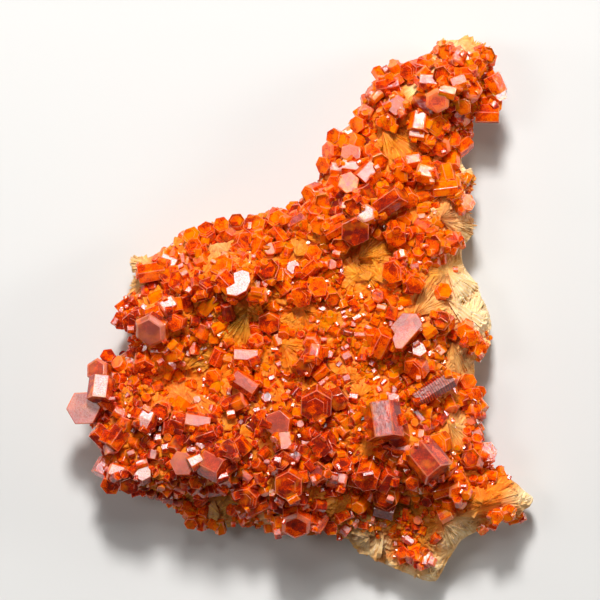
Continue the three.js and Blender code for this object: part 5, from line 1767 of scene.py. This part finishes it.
def vanadiniteFinish():
    finish = bpy.data.materials.new("vanadinite_crystal")
    finish.use_nodes = True
    tree = finish.node_tree
    shader = tree.nodes["Principled BSDF"]
    place = objectPlace(tree)
    clouds = noiseOf(tree, place, *vanadinite["clouds"])
    specks = noiseOf(tree, place, *vanadinite["specks"])
    seed, depth = valueOf(tree, "seed"), valueOf(tree, "depth")
    upward = axesOf(tree, addNode(tree, "ShaderNodeNewGeometry").outputs["True Normal"])[2]

    # growth zones run parallel to the faces of each crystal
    own = vectorOf(tree, "local")
    ownX, ownY, ownZ = axesOf(tree, own)
    outer = mathNode(tree, "MAXIMUM", mathNode(tree, "ABSOLUTE", ownZ), flatDistance(tree, ownX, ownY))
    distance = times(tree, outer, vanadinite["zonesAcross"])
    shift = times(tree, seed, vanadinite["zoneShift"])
    zones = noiseOf(tree, flatPlace(tree, distance, shift), *vanadinite["zoneNoise"])

    # changes to the crystal's own tone: clouds, zones, blocks and specks within it, painted light on the
    # sides and painted shade towards the root; for each, the value, where it changes nothing, and its
    # strength
    tone = valueOf(tree, "tone")
    for value, middle, amount in [
        (clouds, 0.5, vanadinite["cloudTone"]),
        (zones, 0.5, vanadinite["zoneTone"]),
        (growthBlocks(tree, own, seed), 0.5, vanadinite["blockTone"]),
        (upward, 0.75, vanadinite["paintedSideLight"]),
        (depth, 0.0, vanadinite["rootShadeTone"]),
        (specks, 0.5, vanadinite["speckTone"]),
    ]:
        tone = mathNode(tree, "ADD", tone, times(tree, mathNode(tree, "SUBTRACT", value, middle), amount))
    colour = rampOf(tree, tone, vanadinite["ramp"])
    # painted glow in blotches
    paintedGlow = stretch(tree, noiseOf(tree, place, *vanadinite["paintedGlowNoise"]), *vanadinite["paintedGlowRange"])
    colour = mixColour(tree, paintedGlow, colour, vanadinite["paintedGlow"])
    # painted shade darkening each crystal towards its foot
    colour = mixColour(tree, stretch(tree, depth, *vanadinite["rootShadeRange"]), colour, vanadinite["root"])

    # painted sheen on the face turned to the light of some crystals: a mauve painted reflection in cloudy
    # patches and a whiter one in specks; the same mask makes these faces rougher
    rimeAndPaintedSheen = times(tree, valueOf(tree, "frost"), stretch(tree, upward, *vanadinite["rimeAndSheenFacing"]))
    paintedMauveShare = stretch(tree, clouds, *vanadinite["paintedMauveSheenClouds"])
    paintedMauve = times(tree, stretch(tree, rimeAndPaintedSheen, *vanadinite["paintedMauveSheenRange"]), paintedMauveShare)
    colour = mixColour(tree, paintedMauve, colour, vanadinite["paintedMauveSheen"])
    paintedWhiteShare = stretch(tree, specks, *vanadinite["paintedWhiteSheenSpecks"])
    paintedWhite = times(tree, stretch(tree, rimeAndPaintedSheen, *vanadinite["paintedWhiteSheenRange"]), paintedWhiteShare)
    colour = mixColour(tree, paintedWhite, colour, vanadinite["rimeAndPaintedSheen"])

    # dark lines between the plates of a striped crystal, and pale edges: wear and a painted highlight along
    # the bevels
    grooves = mathNode(tree, "SINE", times(tree, ownZ, crystalShapes["stripes"] * 2 * math.pi))
    grooves = times(tree, stretch(tree, grooves, *vanadinite["stripeRange"]), valueOf(tree, "striped"))
    colour = mixColour(tree, grooves, colour, vanadinite["stripe"])
    wornAndHighlit = times(tree, valueOf(tree, "edge"), vanadinite["edgeWearAndHighlight"])
    feed(tree, mixColour(tree, wornAndHighlit, colour, vanadinite["edge"]), shader.inputs["Base Color"])

    # the same mask also takes the real shine off these faces
    gloss = stretch(tree, clouds, *vanadinite["roughnessRange"])
    roughness = mathNode(tree, "ADD", gloss, times(tree, rimeAndPaintedSheen, vanadinite["rimeRoughness"]))
    feed(tree, roughness, shader.inputs["Roughness"])
    breaks = stretch(tree, noiseOf(tree, place, *vanadinite["rimeBreaks"]), *vanadinite["rimeBreakRange"])
    shine = stretch(tree, times(tree, rimeAndPaintedSheen, breaks), *vanadinite["rimeSpecular"])
    feed(tree, shine, shader.inputs["Specular IOR Level"])
    setShader(shader, vanadinite)
    relief = times(tree, noiseOf(tree, place, *vanadinite["relief"]), vanadinite["reliefHeight"])
    addBump(tree, shader, relief, vanadinite)
    return finish


barite = {
    "tan": (0.66, 0.26, 0.025, 1),
    "honey": (0.88, 0.37, 0.015, 1),
    "orange": (0.82, 0.16, 0.002, 1),
    "cream": (0.94, 0.65, 0.31, 1),
    "ivory": (0.94, 0.86, 0.72, 1),
    "straw": (0.94, 0.54, 0.07, 1),
    # painted shade for hollows
    "olivePaintedShade": (0.30, 0.13, 0.006, 1),
    # partly the rock's grey, partly painted shade at rims and underneath
    "grey": (0.56, 0.46, 0.30, 1),
    # dark lines between blades, and painted shade in hollows
    "crackAndShade": (0.18, 0.04, 0.002, 1),
    "mottle": (380, 4),
    "honeyRange": (0.42, 0.66),
    "patches": (700, 3),
    "patchRange": (0.32, 0.56, 0.45, 1.0),
    "creamRange": (0.25, 0.5, 0.55, 1.0),
    "linesPerTurn": 90,
    "linesOutward": 260.0,
    "lineNoise": (1.0, 3, 0.6),
    "lineRange": (0.52, 0.66, 0.0, 0.8),
    "stainedLines": (0.3, 0.8, 0.0, 0.7),
    "crackRange": (0.42, 0.26, 0.0, 0.75),
    "cracksInPale": (0.0, 1.0, 1.0, 0.25),
    "creviceShadeRange": (0.42, 0.1, 0.0, 0.75),
    "roughnessRange": (0.3, 0.7, 0.38, 0.62),
    "ior": 1.35,
    "glowWeight": 0.15,
    "glowColours": (1.0, 0.6, 0.3),
    "glowDepth": 0.0006,
    "grain": 0.35,
    "bumpStrength": 0.5,
    "bumpDepth": 0.00012,
}


def bariteFinish():
    finish = bpy.data.materials.new("bladed_barite")
    finish.use_nodes = True
    tree = finish.node_tree
    shader = tree.nodes["Principled BSDF"]
    place = objectPlace(tree)
    paleness = valueOf(tree, "pale")

    # fine lines that run out from the root of each fan
    away = addNode(tree, "ShaderNodeVectorMath", operation="SUBTRACT")
    feed(tree, place, away.inputs[0])
    feed(tree, vectorOf(tree, "apex"), away.inputs[1])
    x, y, z = axesOf(tree, away.outputs[0])
    turn = times(tree, mathNode(tree, "ARCTAN2", y, x), barite["linesPerTurn"] / (2 * math.pi))
    polar = flatPlace(tree, turn, times(tree, flatDistance(tree, x, y), barite["linesOutward"]))
    lines = noiseOf(tree, polar, *barite["lineNoise"])

    # the body: tan and honey, stained orange near the crystals, with olive painted shade in hollows, grey
    # that is partly painted shade at rims and underneath, and pale places
    mottle = noiseOf(tree, place, *barite["mottle"])
    colour = mixColour(tree, stretch(tree, mottle, *barite["honeyRange"]), barite["tan"], barite["honey"])
    patches = stretch(tree, noiseOf(tree, place, *barite["patches"]), *barite["patchRange"])
    stain = times(tree, valueOf(tree, "stain"), patches)
    pale = times(tree, paleness, stretch(tree, mottle, *barite["creamRange"]), clamp=True)
    olivePaintedShade, grey = valueOf(tree, "olivePaintedShade"), valueOf(tree, "grey")
    for share, name in [(stain, "orange"), (olivePaintedShade, "olivePaintedShade"), (grey, "grey"), (pale, "cream")]:
        colour = mixColour(tree, share, colour, barite[name])

    # light lines on the blades, dark ones between them, and painted shade in hollows and at the roots of
    # blades
    stained = stretch(tree, stain, *barite["stainedLines"])
    lightLine = mixColour(tree, stained, barite["straw"], barite["honey"])
    lightLine = mixColour(tree, paleness, lightLine, barite["ivory"])
    colour = mixColour(tree, stretch(tree, lines, *barite["lineRange"]), colour, lightLine)
    crackShare = stretch(tree, paleness, *barite["cracksInPale"])
    cracks = times(tree, stretch(tree, lines, *barite["crackRange"]), crackShare)
    colour = mixColour(tree, cracks, colour, barite["crackAndShade"])
    paintedCreviceShade = stretch(tree, valueOf(tree, "creviceShadeLevel"), *barite["creviceShadeRange"])
    feed(tree, mixColour(tree, paintedCreviceShade, colour, barite["crackAndShade"]), shader.inputs["Base Color"])
    feed(tree, stretch(tree, mottle, *barite["roughnessRange"]), shader.inputs["Roughness"])
    setShader(shader, barite)
    addBump(tree, shader, lines, barite)
    return finish


crystalFinish = vanadiniteFinish()
for piece in crystalPieces:
    piece.data.materials.append(crystalFinish)
rockFinish = bariteFinish()
for piece in [rockPiece] + bladePieces:
    piece.data.materials.append(rockFinish)
print("finishes set")
